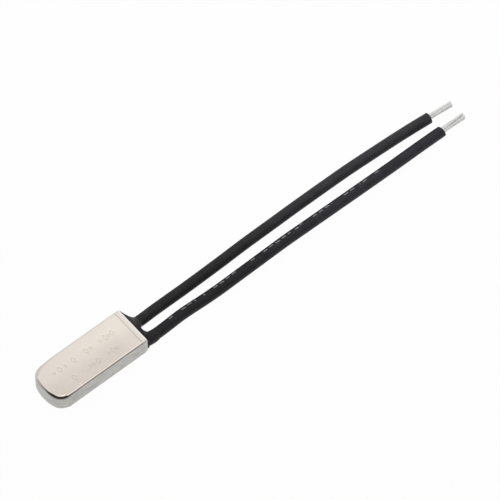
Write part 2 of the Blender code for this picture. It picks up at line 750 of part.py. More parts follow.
def make_lead(name, points, material):
    """Insulated lead: a round cord along its route."""
    curve = bpy.data.curves.new(name, "CURVE")
    curve.dimensions = "3D"
    curve.bevel_depth = LEAD_DIAMETER / 2
    curve.bevel_resolution = 2
    curve.use_fill_caps = True
    spline = curve.splines.new("POLY")
    spline.points.add(len(points) - 1)
    for target, point in zip(spline.points, points):
        target.co = (*point, 1.0)
    curve.materials.append(material)
    lead = bpy.data.objects.new(name, curve)
    bpy.context.collection.objects.link(lead)


def strand_bundle(diameter, length, end_taper=0.0):
    """Twisted strands drawn as one grooved bar along +X, its last ring narrowed by a share."""
    rings = []
    sides = CORE_STRANDS * 4
    for number in range(CORE_RINGS + 1):
        x = length * number / CORE_RINGS
        scale = 1 - end_taper * (number == CORE_RINGS)
        ring = []
        for side in range(sides):
            angle = math.tau * side / sides
            groove = CORE_GROOVE * (0.5 - 0.5 * math.cos(angle * CORE_STRANDS))
            radius = (diameter / 2 - groove) * scale
            turn = angle + math.tau * x / CORE_LAY
            ring.append((x, radius * math.cos(turn), radius * math.sin(turn)))
        rings.append(ring)
    return loft(rings)


def make_core(name, y, material):
    """The lead's strands inside the crimp barrel."""
    start = CRIMP_START + CORE_INSET
    length = LEAD_START - CORE_LEAD_GAP - start
    core = add_object(name, strand_bundle(CORE_DIAMETER, length), material)
    core.location = (start, y, CRIMP_HEIGHT)


def make_tip(name, points, material):
    """The stripped and tinned end of a lead, in line with the cord's last stretch."""
    along = (points[-1] - points[-2]).normalized()
    tip = add_object(name, strand_bundle(TIP_DIAMETER, TIP_LENGTH, TIP_TAPER), material)
    tip.location = points[-1] + along * SEAT
    tip.rotation_euler = along.to_track_quat("X", "Z").to_euler()


def sweep(points, radius, sides):
    """A straight-sided tube along a polyline."""
    rings = []
    for index, point in enumerate(points):
        before = points[max(index - 1, 0)]
        after = points[min(index + 1, len(points) - 1)]
        along = (after - before).normalized()
        across = along.cross(Vector((0.0, 0.0, 1.0))).normalized()
        up = across.cross(along)
        circle = arc(0.0, 0.0, radius, 0.0, math.tau, sides)[:-1]
        rings.append([point + across * u + up * v for u, v in circle])
    return loft(rings)


def seal_height(y, z, axes):
    """How far the potting stands out of the mouth: a dome that climbs each lead."""
    across = y / (CASE_WIDTH / 2 - CASE_WALL)
    upward = z / (CASE_HEIGHT / 2) - 1
    rise = SEAL_RISE * (1 - across**4) * (1 - upward**2)
    for axis in axes:
        away = max(math.hypot(y - axis.y, z - axis.z) - LEAD_DIAMETER / 2, 0.0)
        rise += SEAL_CLIMB * math.exp(-away / SEAL_CLIMB_REACH)
    return rise


def mouth_outline():
    """The can's inner section, seen along X, less the potting's gap."""
    wall = CASE_WALL + SEAL_GAP
    return rounded_rectangle(
        CASE_WIDTH / 2 - wall,
        CASE_HEIGHT / 2 - wall,
        CASE_INNER_EDGE_RADIUS,
        2,
    )


def cut_lead_holes(item, routes):
    """Pass both leads through a piece."""
    for number, points in enumerate(routes):
        away = points[0] - points[1]
        start = points[0] + away.normalized() * OVERSHOOT
        hole = sweep([start] + points[1:3], LEAD_DIAMETER / 2 + SEAL_GAP, HOLE_SIDES)
        combine(item, "DIFFERENCE", f"{item.name}_hole_{number}", hole)


def make_dam(material, routes):
    middle = CASE_HEIGHT / 2
    faces = (DAM_START, DAM_START + DAM_THICKNESS)
    sheet = loft([[(x, y, middle + z) for y, z in mouth_outline()] for x in faces])
    cut_lead_holes(add_object("resin_dam", sheet, material), routes)


def make_seal(material, routes):
    """Potting from the dam to the mouth; each route's second point lies in the mouth's plane."""
    axes = [points[1] for points in routes]
    half_width = CASE_WIDTH / 2 - CASE_WALL - SEAL_GAP
    half_height = CASE_HEIGHT / 2 - CASE_WALL - SEAL_GAP
    columns = round(2 * half_width / SEAL_MESH_STEP)
    rows = round(2 * half_height / SEAL_MESH_STEP)
    body = bmesh.new()
    bmesh.ops.create_grid(body, x_segments=columns, y_segments=rows, size=1.0)
    for vertex in body.verts:
        across, upward, _ = vertex.co
        vertex.co = (SEAL_START, across * half_width, CASE_HEIGHT / 2 + upward * half_height)
    region = bmesh.ops.extrude_face_region(body, geom=body.faces[:])
    for vertex in [item for item in region["geom"] if isinstance(item, bmesh.types.BMVert)]:
        vertex.co.x = MOUTH + seal_height(vertex.co.y, vertex.co.z, axes)
    cut_lead_holes(add_object("epoxy_seal", body, material), routes)


def main():
    clear_scene()
    nickel = make_material("nickel_plated_steel", (0.74, 0.71, 0.67), 0.30, 1.0)
    film = make_material("polyester_film", (0.70, 0.62, 0.42), 0.45, 0.0)
    fibre = make_material("vulcanised_fibre", (0.45, 0.20, 0.14), 0.60, 0.0)
    moulding = make_material("moulded_resin", (0.55, 0.50, 0.40), 0.55, 0.0)
    brass = make_material("stamped_brass", (0.78, 0.60, 0.30), 0.32, 1.0)
    silver = make_material("contact_silver", (0.86, 0.85, 0.82), 0.25, 1.0)
    spring = make_material("spring_copper", (0.76, 0.50, 0.34), 0.30, 1.0)
    bimetal = make_material("bimetal", (0.58, 0.57, 0.55), 0.35, 1.0)
    epoxy = make_material("potting_epoxy", (0.030, 0.026, 0.023), 0.38, 0.0)
    silicone = make_material("lead_insulation", (0.022, 0.022, 0.025), 0.55, 0.0)
    tinned = make_material("tinned_copper", (0.76, 0.75, 0.73), 0.30, 1.0)

    pivot = bpy.data.objects.new("arm_pivot", None)
    pivot.location = ARM_PIVOT
    bpy.context.collection.objects.link(pivot)

    make_case(nickel)
    make_sleeve(film)
    make_tray(moulding)
    make_fixed_terminal(brass)
    make_fixed_contact(silver)
    make_moving_terminal(brass)
    make_contact_arm(spring, pivot)
    make_moving_contact(silver, pivot)
    make_bimetal_disc(bimetal, pivot)
    make_arm_rivet(brass)
    leads = {
        "a": (1, smooth_route(1, LEAD_A_ROUTE)),
        "b": (-1, smooth_route(-1, LEAD_B_ROUTE)),
    }
    routes = [points for _, points in leads.values()]
    make_dam(fibre, routes)
    make_seal(epoxy, routes)
    for letter, (side, points) in leads.items():
        make_lead(f"lead_{letter}", points, silicone)
        make_core(f"lead_{letter}_core", side * CRIMP_Y, tinned)
        make_tip(f"lead_{letter}_tip", points, tinned)


main()
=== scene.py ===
"""Dressed scene of a flat bimetal thermostat: a potted nickel-plated can with two black leads.

Sizes are in millimetres in the part's own frame, and become metres as each mesh is made.
"""

import math
import random

import bmesh
import bpy
from mathutils import Matrix, Vector


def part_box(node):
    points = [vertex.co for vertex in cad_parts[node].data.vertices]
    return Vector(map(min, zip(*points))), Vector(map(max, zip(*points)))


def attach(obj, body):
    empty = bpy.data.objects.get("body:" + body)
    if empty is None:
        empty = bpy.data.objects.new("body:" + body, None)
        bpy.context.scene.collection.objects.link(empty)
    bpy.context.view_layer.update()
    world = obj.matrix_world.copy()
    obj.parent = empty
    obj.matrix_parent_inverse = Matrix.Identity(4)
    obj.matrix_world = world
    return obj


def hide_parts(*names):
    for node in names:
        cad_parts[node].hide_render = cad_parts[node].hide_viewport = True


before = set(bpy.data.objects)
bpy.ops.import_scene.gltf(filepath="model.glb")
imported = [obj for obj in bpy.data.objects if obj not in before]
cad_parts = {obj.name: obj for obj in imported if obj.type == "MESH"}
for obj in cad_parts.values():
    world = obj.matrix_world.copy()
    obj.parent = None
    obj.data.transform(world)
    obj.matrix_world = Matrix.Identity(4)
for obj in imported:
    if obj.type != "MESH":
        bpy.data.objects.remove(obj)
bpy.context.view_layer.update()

MM = 0.001
# Places closer than this count as one
NEARLY = 1e-5

# View that matches the photograph; the clip distances are in metres
VIEW_TARGET = (36.69, 0.50, 0.0)
VIEW_AZIMUTH = -39.81
VIEW_ELEVATION = 58.51
VIEW_DISTANCE = 900.0
VIEW_LENS = 369.4
VIEW_CLIP_START = 0.1
VIEW_CLIP_END = 100.0

# Can
CAN_LOW, CAN_HIGH = (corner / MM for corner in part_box("case"))
CLOSED_X = CAN_LOW.x
MOUTH_X = CAN_HIGH.x
CAN_WIDTH = CAN_HIGH.y - CAN_LOW.y
CAN_HEIGHT = CAN_HIGH.z
CAN_WALL = 0.30
CORNER_RADIUS = 2.4
END_RADIUS = 9.0
EDGE_RADIUS = 0.36
# What each side's edge radius gains round the closed end, and how far from that end the gain
# starts and stops fading
NEAR_EXTRA, NEAR_FADE = 0.35, (1.9, 2.6)
FAR_EXTRA, FAR_FADE = 0.55, (1.2, 5.5)
# How far from the middle plane each side's gain starts, and over what width it grows to the full
NEAR_GROWTH = (0.8, 1.6)
FAR_GROWTH = (2.2, 1.4)
# Share of the near side's gain that the middle of the closed end has
MIDDLE_SHARE = 0.35
MOUTH_TAPER = 0.05
MOUTH_TAPER_LENGTH = 0.7
MOUTH_ROUNDING = 0.20
MOUTH_ROUNDING_STEPS = 5
LIP_STEP = 0.03
LIP_BORDER = 0.12
LIP_SLOPE = 0.16
LIP_SUPPORT = 0.03
LIP_LENGTH = 1.02
LIP_FADE_START = 2.4
LIP_FADE = 1.2
CORNER_STEPS = 28
END_STEPS = 24
EDGE_STEPS = 12
# How far from the mouth the straight sides are divided
SIDE_SETBACKS = (
    0.0,
    MOUTH_TAPER_LENGTH / 2,
    MOUTH_TAPER_LENGTH,
    1.3,
    1.8,
    LIP_FADE_START,
    8.0,
    12.0,
    14.5,
    16.0,
    16.8,
    17.2,
)
# How far the cutter of the hollow reaches out of the mouth
HOLLOW_BEYOND = 1.0

# Stamped lozenges: each row's y, then the x of its large and of its small ones
MARK_ROWS = (
    (1.15, (6.1, 4.6, 0.4, -2.4, -5.4), (5.35, 3.5, 1.4, -4.2, -6.6)),
    (-1.65, (4.1, 0.9, -4.4), (4.85, 3.2, -0.1, -0.9)),
)
MARK_SMALLER = 0.55
MARK_DEPTH = 0.018
MARK_REACH = 0.15
MARK_HALF_WIDTH = 0.36
MARK_HALF_HEIGHT = 0.64
MARK_GRID = 0.07
MARK_CUT_TOLERANCE = 1e-6

# Potting
SEAL_BACK_X = 8.47
SEAL_GAP = 0.03
SEAL_RISE = 0.95
SEAL_EDGE = 0.03
# Run of potting in the mouth's lower near corner: y, z, how far it stands out, its size
SEAL_RUN = (-3.4, 0.7, 0.22, 0.8)
SEAL_CLIMB = 0.75
SEAL_REACH = 0.50
SEAL_STEP = 0.10
SEAL_PASSES = 3
# How far out of the mouth the potting follows the leads' axes
SEAL_AXIS_REACH = 4.0
# How far each lead's collar reaches out of the mouth, and its thickness
COLLARS = ((2.0, 0.13), (3.2, 0.30))
COLLAR_SIDES = 48
COLLAR_ROOT = 0.6
# Turn from the lead's top to where the collar is thickest, and its share of that thickness opposite
COLLAR_THICK_TURN = math.radians(-120.0)
COLLAR_THIN_SHARE = 0.12
COLLAR_SINK = 0.01

# Leads
LEAD_DIAMETER = 2.1
LEAD_SIDES = 48
LEAD_STEP = 0.35
# Parts of each span of a route before its points are spaced evenly
STRAIGHT_PARTS = 40
CURVED_PARTS = 60
CUT_ROUNDING = 0.06
CUT_STEPS = 4
CUT_HOLE_RADIUS = 0.60
CUT_HOLE_DEPTH = 0.35
CUT_CHAMFER_WIDTH = 0.04
CUT_CHAMFER_DEPTH = 0.05
# How far back each lead's cut slants
CUT_SLANT_A = 0.0
CUT_SLANT_B = 0.28

# Stripped tips
TIP_LENGTH = 5.0
STRANDS = 5
STRAND_DIAMETER = 0.45
STRAND_SIDES = 16
STRAND_STEPS = 22
# Random ranges for each strand: how much shorter it is, its share of the flare, its extra turn
STRAND_SHORTER = (0.10, 0.22)
STRAND_FLARE = (0.85, 1.15)
STRAND_TURN = (-0.12, 0.12)
# Rings of a strand's rounded end: share of its radius, and how far they lie beyond its last full ring
STRAND_END = ((0.90, 0.05), (0.66, 0.10), (0.30, 0.13))
MIDDLE_STRAND_BACK = 0.28
BUNDLE_FLARE = 0.06
BUNDLE_FLARE_POWER = 1.4
BUNDLE_TURN = 0.6
CORE_LIFT = 0.14
# Each tip: random seed, its strands' distance from their middle, and that middle's from the lead's axis
TIP_A = (3, 0.30, 0.06)
TIP_B = (8, 0.37, 0.0)

# Each lead's centreline: its start in the potting, then its points from the mouth on
LEAD_A_ROUTE = (
    (7.5, 1.92, 1.78),
    (10.0, 1.06, 1.71),
    (12.5, 1.00, 1.47),
    (15.0, 1.20, 1.18),
    (18.0, 1.27, 1.07),
    (22.0, 1.28, 1.05),
    (26.0, 1.33, 1.05),
    (31.0, 1.44, 1.05),
    (36.0, 1.60, 1.05),
    (42.0, 1.67, 1.05),
    (48.0, 1.74, 1.05),
    (54.0, 1.75, 1.05),
    (60.0, 1.71, 1.05),
    (65.0, 1.54, 1.05),
    (70.0, 1.34, 1.05),
    (74.3, 1.10, 1.05),
    (78.4, 0.79, 1.05),
)
LEAD_B_ROUTE = (
    (7.5, -1.92, 1.78),
    (10.0, -2.50, 1.63),
    (12.5, -2.75, 1.27),
    (15.5, -2.62, 1.08),
    (18.4, -2.49, 1.05),
    (21.0, -2.55, 1.05),
    (24.0, -2.68, 1.05),
    (27.2, -2.73, 1.05),
    (31.0, -2.67, 1.05),
    (36.0, -2.59, 1.05),
    (42.0, -2.50, 1.05),
    (47.0, -2.55, 1.05),
    (53.0, -2.62, 1.05),
    (60.0, -2.70, 1.05),
    (67.0, -2.76, 1.05),
    (73.0, -2.75, 1.05),
    (78.4, -2.80, 1.05),
)

# Colours of the plate; a pair holds the two that the plate changes between
# Painted light across the top: the far side and the mouth lit, the near side shaded
PLATE_FAR_SIDE_LIT = ((0.712, 0.656, 0.601), (0.788, 0.731, 0.659))
PLATE_NEAR_SIDE_SHADED = ((0.595, 0.545, 0.500), (0.640, 0.578, 0.532))
PLATE_NEAR_MOUTH_LIT = (0.705, 0.640, 0.590)
PLATE_PINKER = (0.660, 0.585, 0.550)
PLATE_GREYER = (0.725, 0.685, 0.635)
PLATE_LIP = (0.775, 0.735, 0.68)
# Painted shade in the step at the lip's foot
PLATE_LIP_STEP_SHADE = (0.48, 0.46, 0.39)
# Painted highlight on the rounded edge of the mouth
PLATE_RIM_HIGHLIGHT = (0.92, 0.90, 0.86)
# Painted shade in the stamped marks
PLATE_MARK_SHADE = (0.46, 0.44, 0.39)
# Side wall tones, darkened as painted shade: plain next to the mouth, then with real brushed streaks
PLATE_WALL_RIM_SHADED = (0.46, 0.46, 0.44)
PLATE_STREAKS_SHADED = ((0.365, 0.357, 0.336), (0.560, 0.548, 0.517))
# Painted shade low on the side wall, next to the floor
PLATE_FOOT_SHADE = (0.30, 0.295, 0.28)
# Colour of the painted dark reflection on the upper edge
PLATE_DARK_REFLECTION = (0.050, 0.041, 0.035)
# Middle of the painted dark reflection on the closed end's near upper edge
DARK_REFLECTION_MIDDLE = (-8.9, -3.1, 3.7)

# Colours of the potting, each pair from its darker to its paler clouds or side; the paler side is a
# painted highlight
RESIN_DEEP = ((0.0050, 0.0038, 0.0030), (0.0095, 0.0072, 0.0058))
RESIN_HIGHLIT_SIDE = ((0.0340, 0.0296, 0.0262), (0.0490, 0.0413, 0.0355))
RESIN_DRAWN_OUT = ((0.0130, 0.0128, 0.0130), (0.0400, 0.0390, 0.0395))

# Colours of each lead's insulation: a cloudy pair near the can, then one near the cut end; the change
# between them is painted light, darker near the can
SILICONE_A = (
    ((0.0070, 0.0070, 0.0084), (0.0150, 0.0148, 0.0168)),
    ((0.0268, 0.0263, 0.0312), (0.0385, 0.0378, 0.0442)),
)
SILICONE_B = (
    ((0.0026, 0.0028, 0.0046), (0.0094, 0.0096, 0.0132)),
    ((0.0185, 0.0182, 0.0242), (0.0282, 0.0274, 0.0368)),
)
# Where the painted light gradient along the leads starts and stops
SILICONE_LIGHT_RAMP = (26.0, 60.0)
SILICONE_SPECK = (0.038, 0.038, 0.040)

# Worn dashes along lead B; each pair holds where they are gone and where they show in full
PRINT_START = (8.4, 8.6)
PRINT_STOP = (58.0, 57.6)
PRINT_HALF_WIDTH = (0.15, 0.09)
# Their place round the lead in turns, then their pitch, slant, scatter and the share left out
PRINT_TURN = 0.055
PRINT_PITCH = 1.42
PRINT_SLANT = 0.45
PRINT_SCATTER = 0.22
PRINT_LEFT_OUT = 0.22
PRINT_TONE = (0.36, 0.36, 0.37)

# Metals: two colours, roughness, scale of the grain, its depth, and how metallic if not fully
METALS = {
    "tinned_strands": ((0.82, 0.82, 0.81), (0.93, 0.93, 0.92), 0.48, (0.3, 1.6, 1.6), 0.002, 0.2),
    "rolled_brass": ((0.66, 0.47, 0.22), (0.82, 0.62, 0.32), 0.30, (1.2, 14.0, 6.0), 0.006),
    "contact_silver": ((0.74, 0.73, 0.70), (0.90, 0.89, 0.86), 0.24, (6.0, 6.0, 6.0), 0.006),
    "spring_copper": ((0.60, 0.36, 0.23), (0.80, 0.54, 0.37), 0.28, (1.0, 16.0, 6.0), 0.006),
    "bimetal": ((0.46, 0.45, 0.42), (0.64, 0.63, 0.61), 0.34, (0.8, 18.0, 6.0), 0.006),
    "core_strands": ((0.62, 0.61, 0.58), (0.82, 0.81, 0.78), 0.30, (0.8, 9.0, 9.0), 0.01),
}
# Film, resin and fibre: two colours, roughness, scale of the grain, its depth, and transmission
PLASTICS = {
    "polyester_film": ((0.62, 0.52, 0.30), (0.76, 0.68, 0.46), 0.34, (3.0, 3.0, 3.0), 0.004, 0.35),
    "moulded_resin": ((0.44, 0.39, 0.29), (0.60, 0.55, 0.44), 0.52, (7.0, 7.0, 7.0), 0.02),
    "vulcanised_fibre": ((0.33, 0.12, 0.08), (0.50, 0.23, 0.16), 0.62, (9.0, 2.0, 14.0), 0.02),
}
# Pieces inside the can, by their material
INNER_PIECES = {
    "polyester_film": ("insulating_sleeve",),
    "moulded_resin": ("base_tray",),
    "vulcanised_fibre": ("resin_dam",),
    "rolled_brass": ("fixed_terminal", "moving_terminal", "arm_rivet"),
    "contact_silver": ("fixed_contact", "moving_contact"),
    "spring_copper": ("contact_arm",),
    "bimetal": ("bimetal_disc",),
    "core_strands": ("lead_a_core", "lead_b_core"),
}

# Floor: half its side in metres, how far it lies below the part, and its colours
FLOOR_REACH = 20.0
FLOOR_DROP = 0.02
FLOOR_TONES = ((0.86, 0.86, 0.86), (0.90, 0.90, 0.90))
# Share of plain white in what the camera, a gloss or a glass sees of the floor
FLOOR_WHITE = 0.97

# World: colours at the horizon, above it, overhead and in the bright patch near the zenith
SKY_HORIZON = (0.62, 0.63, 0.64)
SKY_ABOVE = (0.90, 0.90, 0.90)
SKY_OVERHEAD = (1.15, 1.14, 1.12)
SKY_PATCH = (1.75, 1.75, 1.75)
SKY_PATCH_MIDDLE = (0.20, 0.03, 0.98)
# Dark sector on the camera's side: its colours low and high up, and its turn from the camera
SECTOR_LOW = (0.45, 0.44, 0.43)
SECTOR_HIGH = (0.060, 0.052, 0.045)
SECTOR_TURN = math.radians(-15.0)


def view_direction():
    """Unit vector from the object to the camera."""
    azimuth = math.radians(VIEW_AZIMUTH)
    elevation = math.radians(VIEW_ELEVATION)
    return Vector(
        (
            math.sin(azimuth) * math.cos(elevation),
            -math.cos(azimuth) * math.cos(elevation),
            math.sin(elevation),
        )
    )


def make_camera():
    """Camera at the photograph's viewing angle."""
    data = bpy.data.cameras.new("camera")
    data.lens = VIEW_LENS
    data.clip_start = VIEW_CLIP_START
    data.clip_end = VIEW_CLIP_END
    camera = bpy.data.objects.new("camera", data)
    toward = view_direction()
    camera.location = (Vector(VIEW_TARGET) + toward * VIEW_DISTANCE) * MM
    camera.rotation_euler = toward.to_track_quat("Z", "Y").to_euler()
    bpy.context.scene.collection.objects.link(camera)
    bpy.context.scene.camera = camera


# Shader helpers


def add_node(tree, kind, inputs=None, **settings):
    """A node with its settings; each input is linked to a socket or set to a value."""
    made = tree.nodes.new(kind)
    for name, value in settings.items():
        setattr(made, name, value)
    for key, value in (inputs or {}).items():
        if isinstance(value, bpy.types.NodeSocket):
            tree.links.new(value, made.inputs[key])
        else:
            made.inputs[key].default_value = value
    return made


def calculate(tree, operation, first, second=0.0):
    """Result of one Math node."""
    inputs = {0: first, 1: second}
    return add_node(tree, "ShaderNodeMath", inputs, operation=operation).outputs[0]


def product(tree, first, *factors):
    """Product of two or more sockets or numbers."""
    result = first
    for factor in factors:
        result = calculate(tree, "MULTIPLY", result, factor)
    return result


def ramp(tree, value, start, stop, low=0.0, high=1.0):
    """Smooth change from low to high as value goes from start to stop."""
    inputs = {"Value": value, "From Min": start, "From Max": stop, "To Min": low, "To Max": high}
    mapped = add_node(tree, "ShaderNodeMapRange", inputs, interpolation_type="SMOOTHSTEP")
    return mapped.outputs["Result"]


def plateau(tree, value, rise, fall):
    """1 between a rise and a fall; each is the pair of values where it is 0 and where it is 1."""
    return product(tree, ramp(tree, value, *rise), ramp(tree, value, *fall))


def mix_colours(tree, factor, first, second):
    """Colours are sockets or (red, green, blue)."""
    inputs = {0: factor}
    for index, colour in ((6, first), (7, second)):
        is_socket = isinstance(colour, bpy.types.NodeSocket)
        inputs[index] = colour if is_socket else (*colour, 1.0)
    return add_node(tree, "ShaderNodeMix", inputs, data_type="RGBA").outputs[2]


def stretch(tree, vector, scale):
    """The vector with each part multiplied by that part of the scale."""
    inputs = {0: vector, 1: scale}
    return add_node(tree, "ShaderNodeVectorMath", inputs, operation="MULTIPLY").outputs[0]


def noise(tree, vector, scale, detail=2.0, roughness=0.5):
    """Noise at a place, around 0.5; the scale is a number, or one for each axis."""
    if isinstance(scale, tuple):
        vector, scale = stretch(tree, vector, scale), 1.0
    inputs = {"Vector": vector, "Scale": scale, "Detail": detail, "Roughness": roughness}
    return add_node(tree, "ShaderNodeTexNoise", inputs).outputs["Fac"]


def bump(tree, height, depth, strength=1.0):
    """Bump of that depth in millimetres."""
    inputs = {"Height": height, "Distance": depth * MM, "Strength": strength}
    return add_node(tree, "ShaderNodeBump", inputs).outputs["Normal"]


def place(tree):
    """Position in the part's frame, in millimetres."""
    position = add_node(tree, "ShaderNodeTexCoord").outputs["Object"]
    return stretch(tree, position, (1 / MM, 1 / MM, 1 / MM))


def split(tree, vector):
    """The vector's x, y and z."""
    return add_node(tree, "ShaderNodeSeparateXYZ", {0: vector}).outputs


def new_material(name):
    """A material, its node tree and its shader."""
    material = bpy.data.materials.new(name)
    material.use_nodes = True
    tree = material.node_tree
    return material, tree, tree.nodes["Principled BSDF"]


def dress(tree, shader, sockets):
    """Link or set the shader's inputs by name."""
    for name, value in sockets.items():
        if isinstance(value, bpy.types.NodeSocket):
            tree.links.new(value, shader.inputs[name])
        else:
            shader.inputs[name].default_value = value


# Materials


def smooth_plate(tree, position, fine_cloud):
    """Colour of the smooth faces, with painted light: paler on the far side and towards the mouth, painted
    shade on the near side towards the closed end.
    """
    x, y, _ = split(tree, position)
    # Painted light gradient: the far side and the mouth paler, the near side darker towards the closed end
    lit_far_side = mix_colours(tree, ramp(tree, x, -10.0, 8.0), *PLATE_FAR_SIDE_LIT)
    shaded_near_side = mix_colours(tree, ramp(tree, x, -10.0, -5.0), *PLATE_NEAR_SIDE_SHADED)
    shaded_near_side = mix_colours(tree, ramp(tree, x, 4.5, 8.0), shaded_near_side, PLATE_NEAR_MOUTH_LIT)
    even = mix_colours(tree, ramp(tree, y, 1.8, -2.4), lit_far_side, shaded_near_side)
    cloud = noise(tree, position, (0.18, 0.34, 0.30), 3.0)
    clouded = mix_colours(tree, ramp(tree, cloud, 0.40, 0.72, 0.0, 0.22), even, PLATE_PINKER)
    return mix_colours(tree, ramp(tree, fine_cloud, 0.35, 0.75, 0.0, 0.3), clouded, PLATE_GREYER)


def with_lip(tree, position, plate):
    """The plate's colour with a paler lip, painted shade in the step at the lip's foot and a painted
    highlight on the rim.
    """
    x = split(tree, position)[0]
    foot = MOUTH_X - LIP_LENGTH - LIP_SLOPE
    lip = mix_colours(tree, ramp(tree, x, foot + 0.10, foot + 0.25, 0.0, 0.7), plate, PLATE_LIP)
    # Painted shade in the step at the lip's foot
    step = plateau(tree, x, (foot - 0.14, foot + 0.06), (foot + 0.28, foot + 0.08))
    step_shaded = mix_colours(tree, product(tree, step, 0.50), lip, PLATE_LIP_STEP_SHADE)
    # Painted highlight along the mouth's rounded edge
    rim_highlight = plateau(tree, x, (MOUTH_X - 0.46, MOUTH_X - 0.36), (MOUTH_X - 0.10, MOUTH_X - 0.20))
    return mix_colours(tree, product(tree, rim_highlight, 0.6), step_shaded, PLATE_RIM_HIGHLIGHT)


def with_mark_shade(tree, position, plate):
    """The plate's colour, with painted shade down in the stamped marks."""
    x, y, z = split(tree, position)
    along = plateau(tree, x, (CLOSED_X + 1.5, CLOSED_X + 1.8), (7.4, 7.1))
    across = ramp(tree, calculate(tree, "ABSOLUTE", y), 3.0, 2.8)
    sunk = ramp(tree, z, CAN_HEIGHT - 0.002, CAN_HEIGHT - MARK_DEPTH)
    # Painted shade: darker where the marks are sunk
    return mix_colours(tree, product(tree, along, across, sunk, 0.48), plate, PLATE_MARK_SHADE)


def painted_dark_reflection(tree, position, upright):
    """Painted dark reflection on the upper edge, 0 to 1: round the closed end's near corner and on the
    near side.
    """
    edge = plateau(tree, upright, (0.36, 0.56), (0.93, 0.82))
    inputs = {0: position, 1: DARK_REFLECTION_MIDDLE}
    away = add_node(tree, "ShaderNodeVectorMath", inputs, operation="DISTANCE").outputs["Value"]
    at_corner = ramp(tree, away, 3.1, 1.7, 0.0, 0.93)
    along_side = ramp(tree, split(tree, position)[1], -3.5, -3.8, 0.0, 0.32)
    return product(tree, edge, calculate(tree, "MAXIMUM", at_corner, along_side))


def brushed_streaks(tree, position):
    """Broad and thin streaks along the side wall."""
    broad = noise(tree, position, (0.35, 0.35, 2.8), 2.0, 0.6)
    thin = noise(tree, position, (0.9, 0.9, 9.0), 3.0, 0.6)
    return calculate(tree, "ADD", product(tree, broad, 0.6), product(tree, thin, 0.4))


def nickel_plate():
    """Satin plate: smooth on the flat faces, brushed along the side wall."""
    material, tree, shader = new_material("nickel_plate")
    position = place(tree)
    x, _, z = split(tree, position)
    upright = split(tree, add_node(tree, "ShaderNodeTexCoord").outputs["Normal"])[2]
    wall = ramp(tree, calculate(tree, "ABSOLUTE", upright), 0.62, 0.48)
    brushed = product(tree, wall, ramp(tree, x, MOUTH_X - 0.56, MOUTH_X - 0.70))
    fine_cloud = noise(tree, position, (0.9, 1.3, 1.3), 4.0, 0.6)
    streaks = brushed_streaks(tree, position)

    plate = smooth_plate(tree, position, fine_cloud)
    plate = with_mark_shade(tree, position, with_lip(tree, position, plate))
    # The side wall's darker tones are painted shade; its streaks are real brushing
    smooth = mix_colours(tree, wall, plate, PLATE_WALL_RIM_SHADED)
    side = mix_colours(tree, ramp(tree, streaks, 0.38, 0.62), *PLATE_STREAKS_SHADED)
    # Painted shade low on the side wall, next to the floor
    side = mix_colours(tree, ramp(tree, z, 0.20, 0.60), PLATE_FOOT_SHADE, side)
    tone = mix_colours(tree, brushed, smooth, side)

    smooth_rough = ramp(tree, fine_cloud, 0.25, 0.75, 0.20, 0.27)
    side_rough = ramp(tree, streaks, 0.36, 0.64, 0.30, 0.42)
    rough = add_node(tree, "ShaderNodeMix", {0: brushed, 2: smooth_rough, 3: side_rough}).outputs[0]
    grain = calculate(tree, "ADD", product(tree, streaks, brushed), product(tree, fine_cloud, 0.6))
    dress(
        tree,
        shader,
        {
            # The upper edge gets a painted dark reflection
            "Base Color": mix_colours(tree, painted_dark_reflection(tree, position, upright), tone, PLATE_DARK_REFLECTION),
            "Metallic": 1.0,
            "Roughness": rough,
            "Normal": bump(tree, grain, 0.010, 0.6),
        },
    )
    return material


def potting_resin():
    """Black-brown cast epoxy, a little uneven, with a painted highlight that makes the far side paler, and
    greyer along the leads.
    """
    material, tree, shader = new_material("potting_resin")
    position = place(tree)
    cloud = noise(tree, position, 1.1, 3.0)
    dust = noise(tree, position, 14.0, 3.0, 0.6)
    x, y, _ = split(tree, position)
    patches = ramp(tree, cloud, 0.35, 0.65)
    # Painted highlight: the far side paler
    lit_far_side = ramp(tree, y, -1.4, 1.2)
    pale = mix_colours(tree, patches, *RESIN_HIGHLIT_SIDE)
    deep = mix_colours(tree, patches, *RESIN_DEEP)
    brown = mix_colours(tree, lit_far_side, deep, pale)
    drawn_out = mix_colours(tree, lit_far_side, *RESIN_DRAWN_OUT)
    relief = calculate(tree, "ADD", cloud, product(tree, dust, 0.15))
    dress(
        tree,
        shader,
        {
            "Base Color": mix_colours(tree, ramp(tree, x, MOUTH_X + 0.4, MOUTH_X + 1.3), brown, drawn_out),
            "Roughness": ramp(tree, dust, 0.3, 0.7, 0.40, 0.56),
            "Specular IOR Level": 0.22,
            "Normal": bump(tree, relief, 0.06, 0.6),
        },
    )
    return material


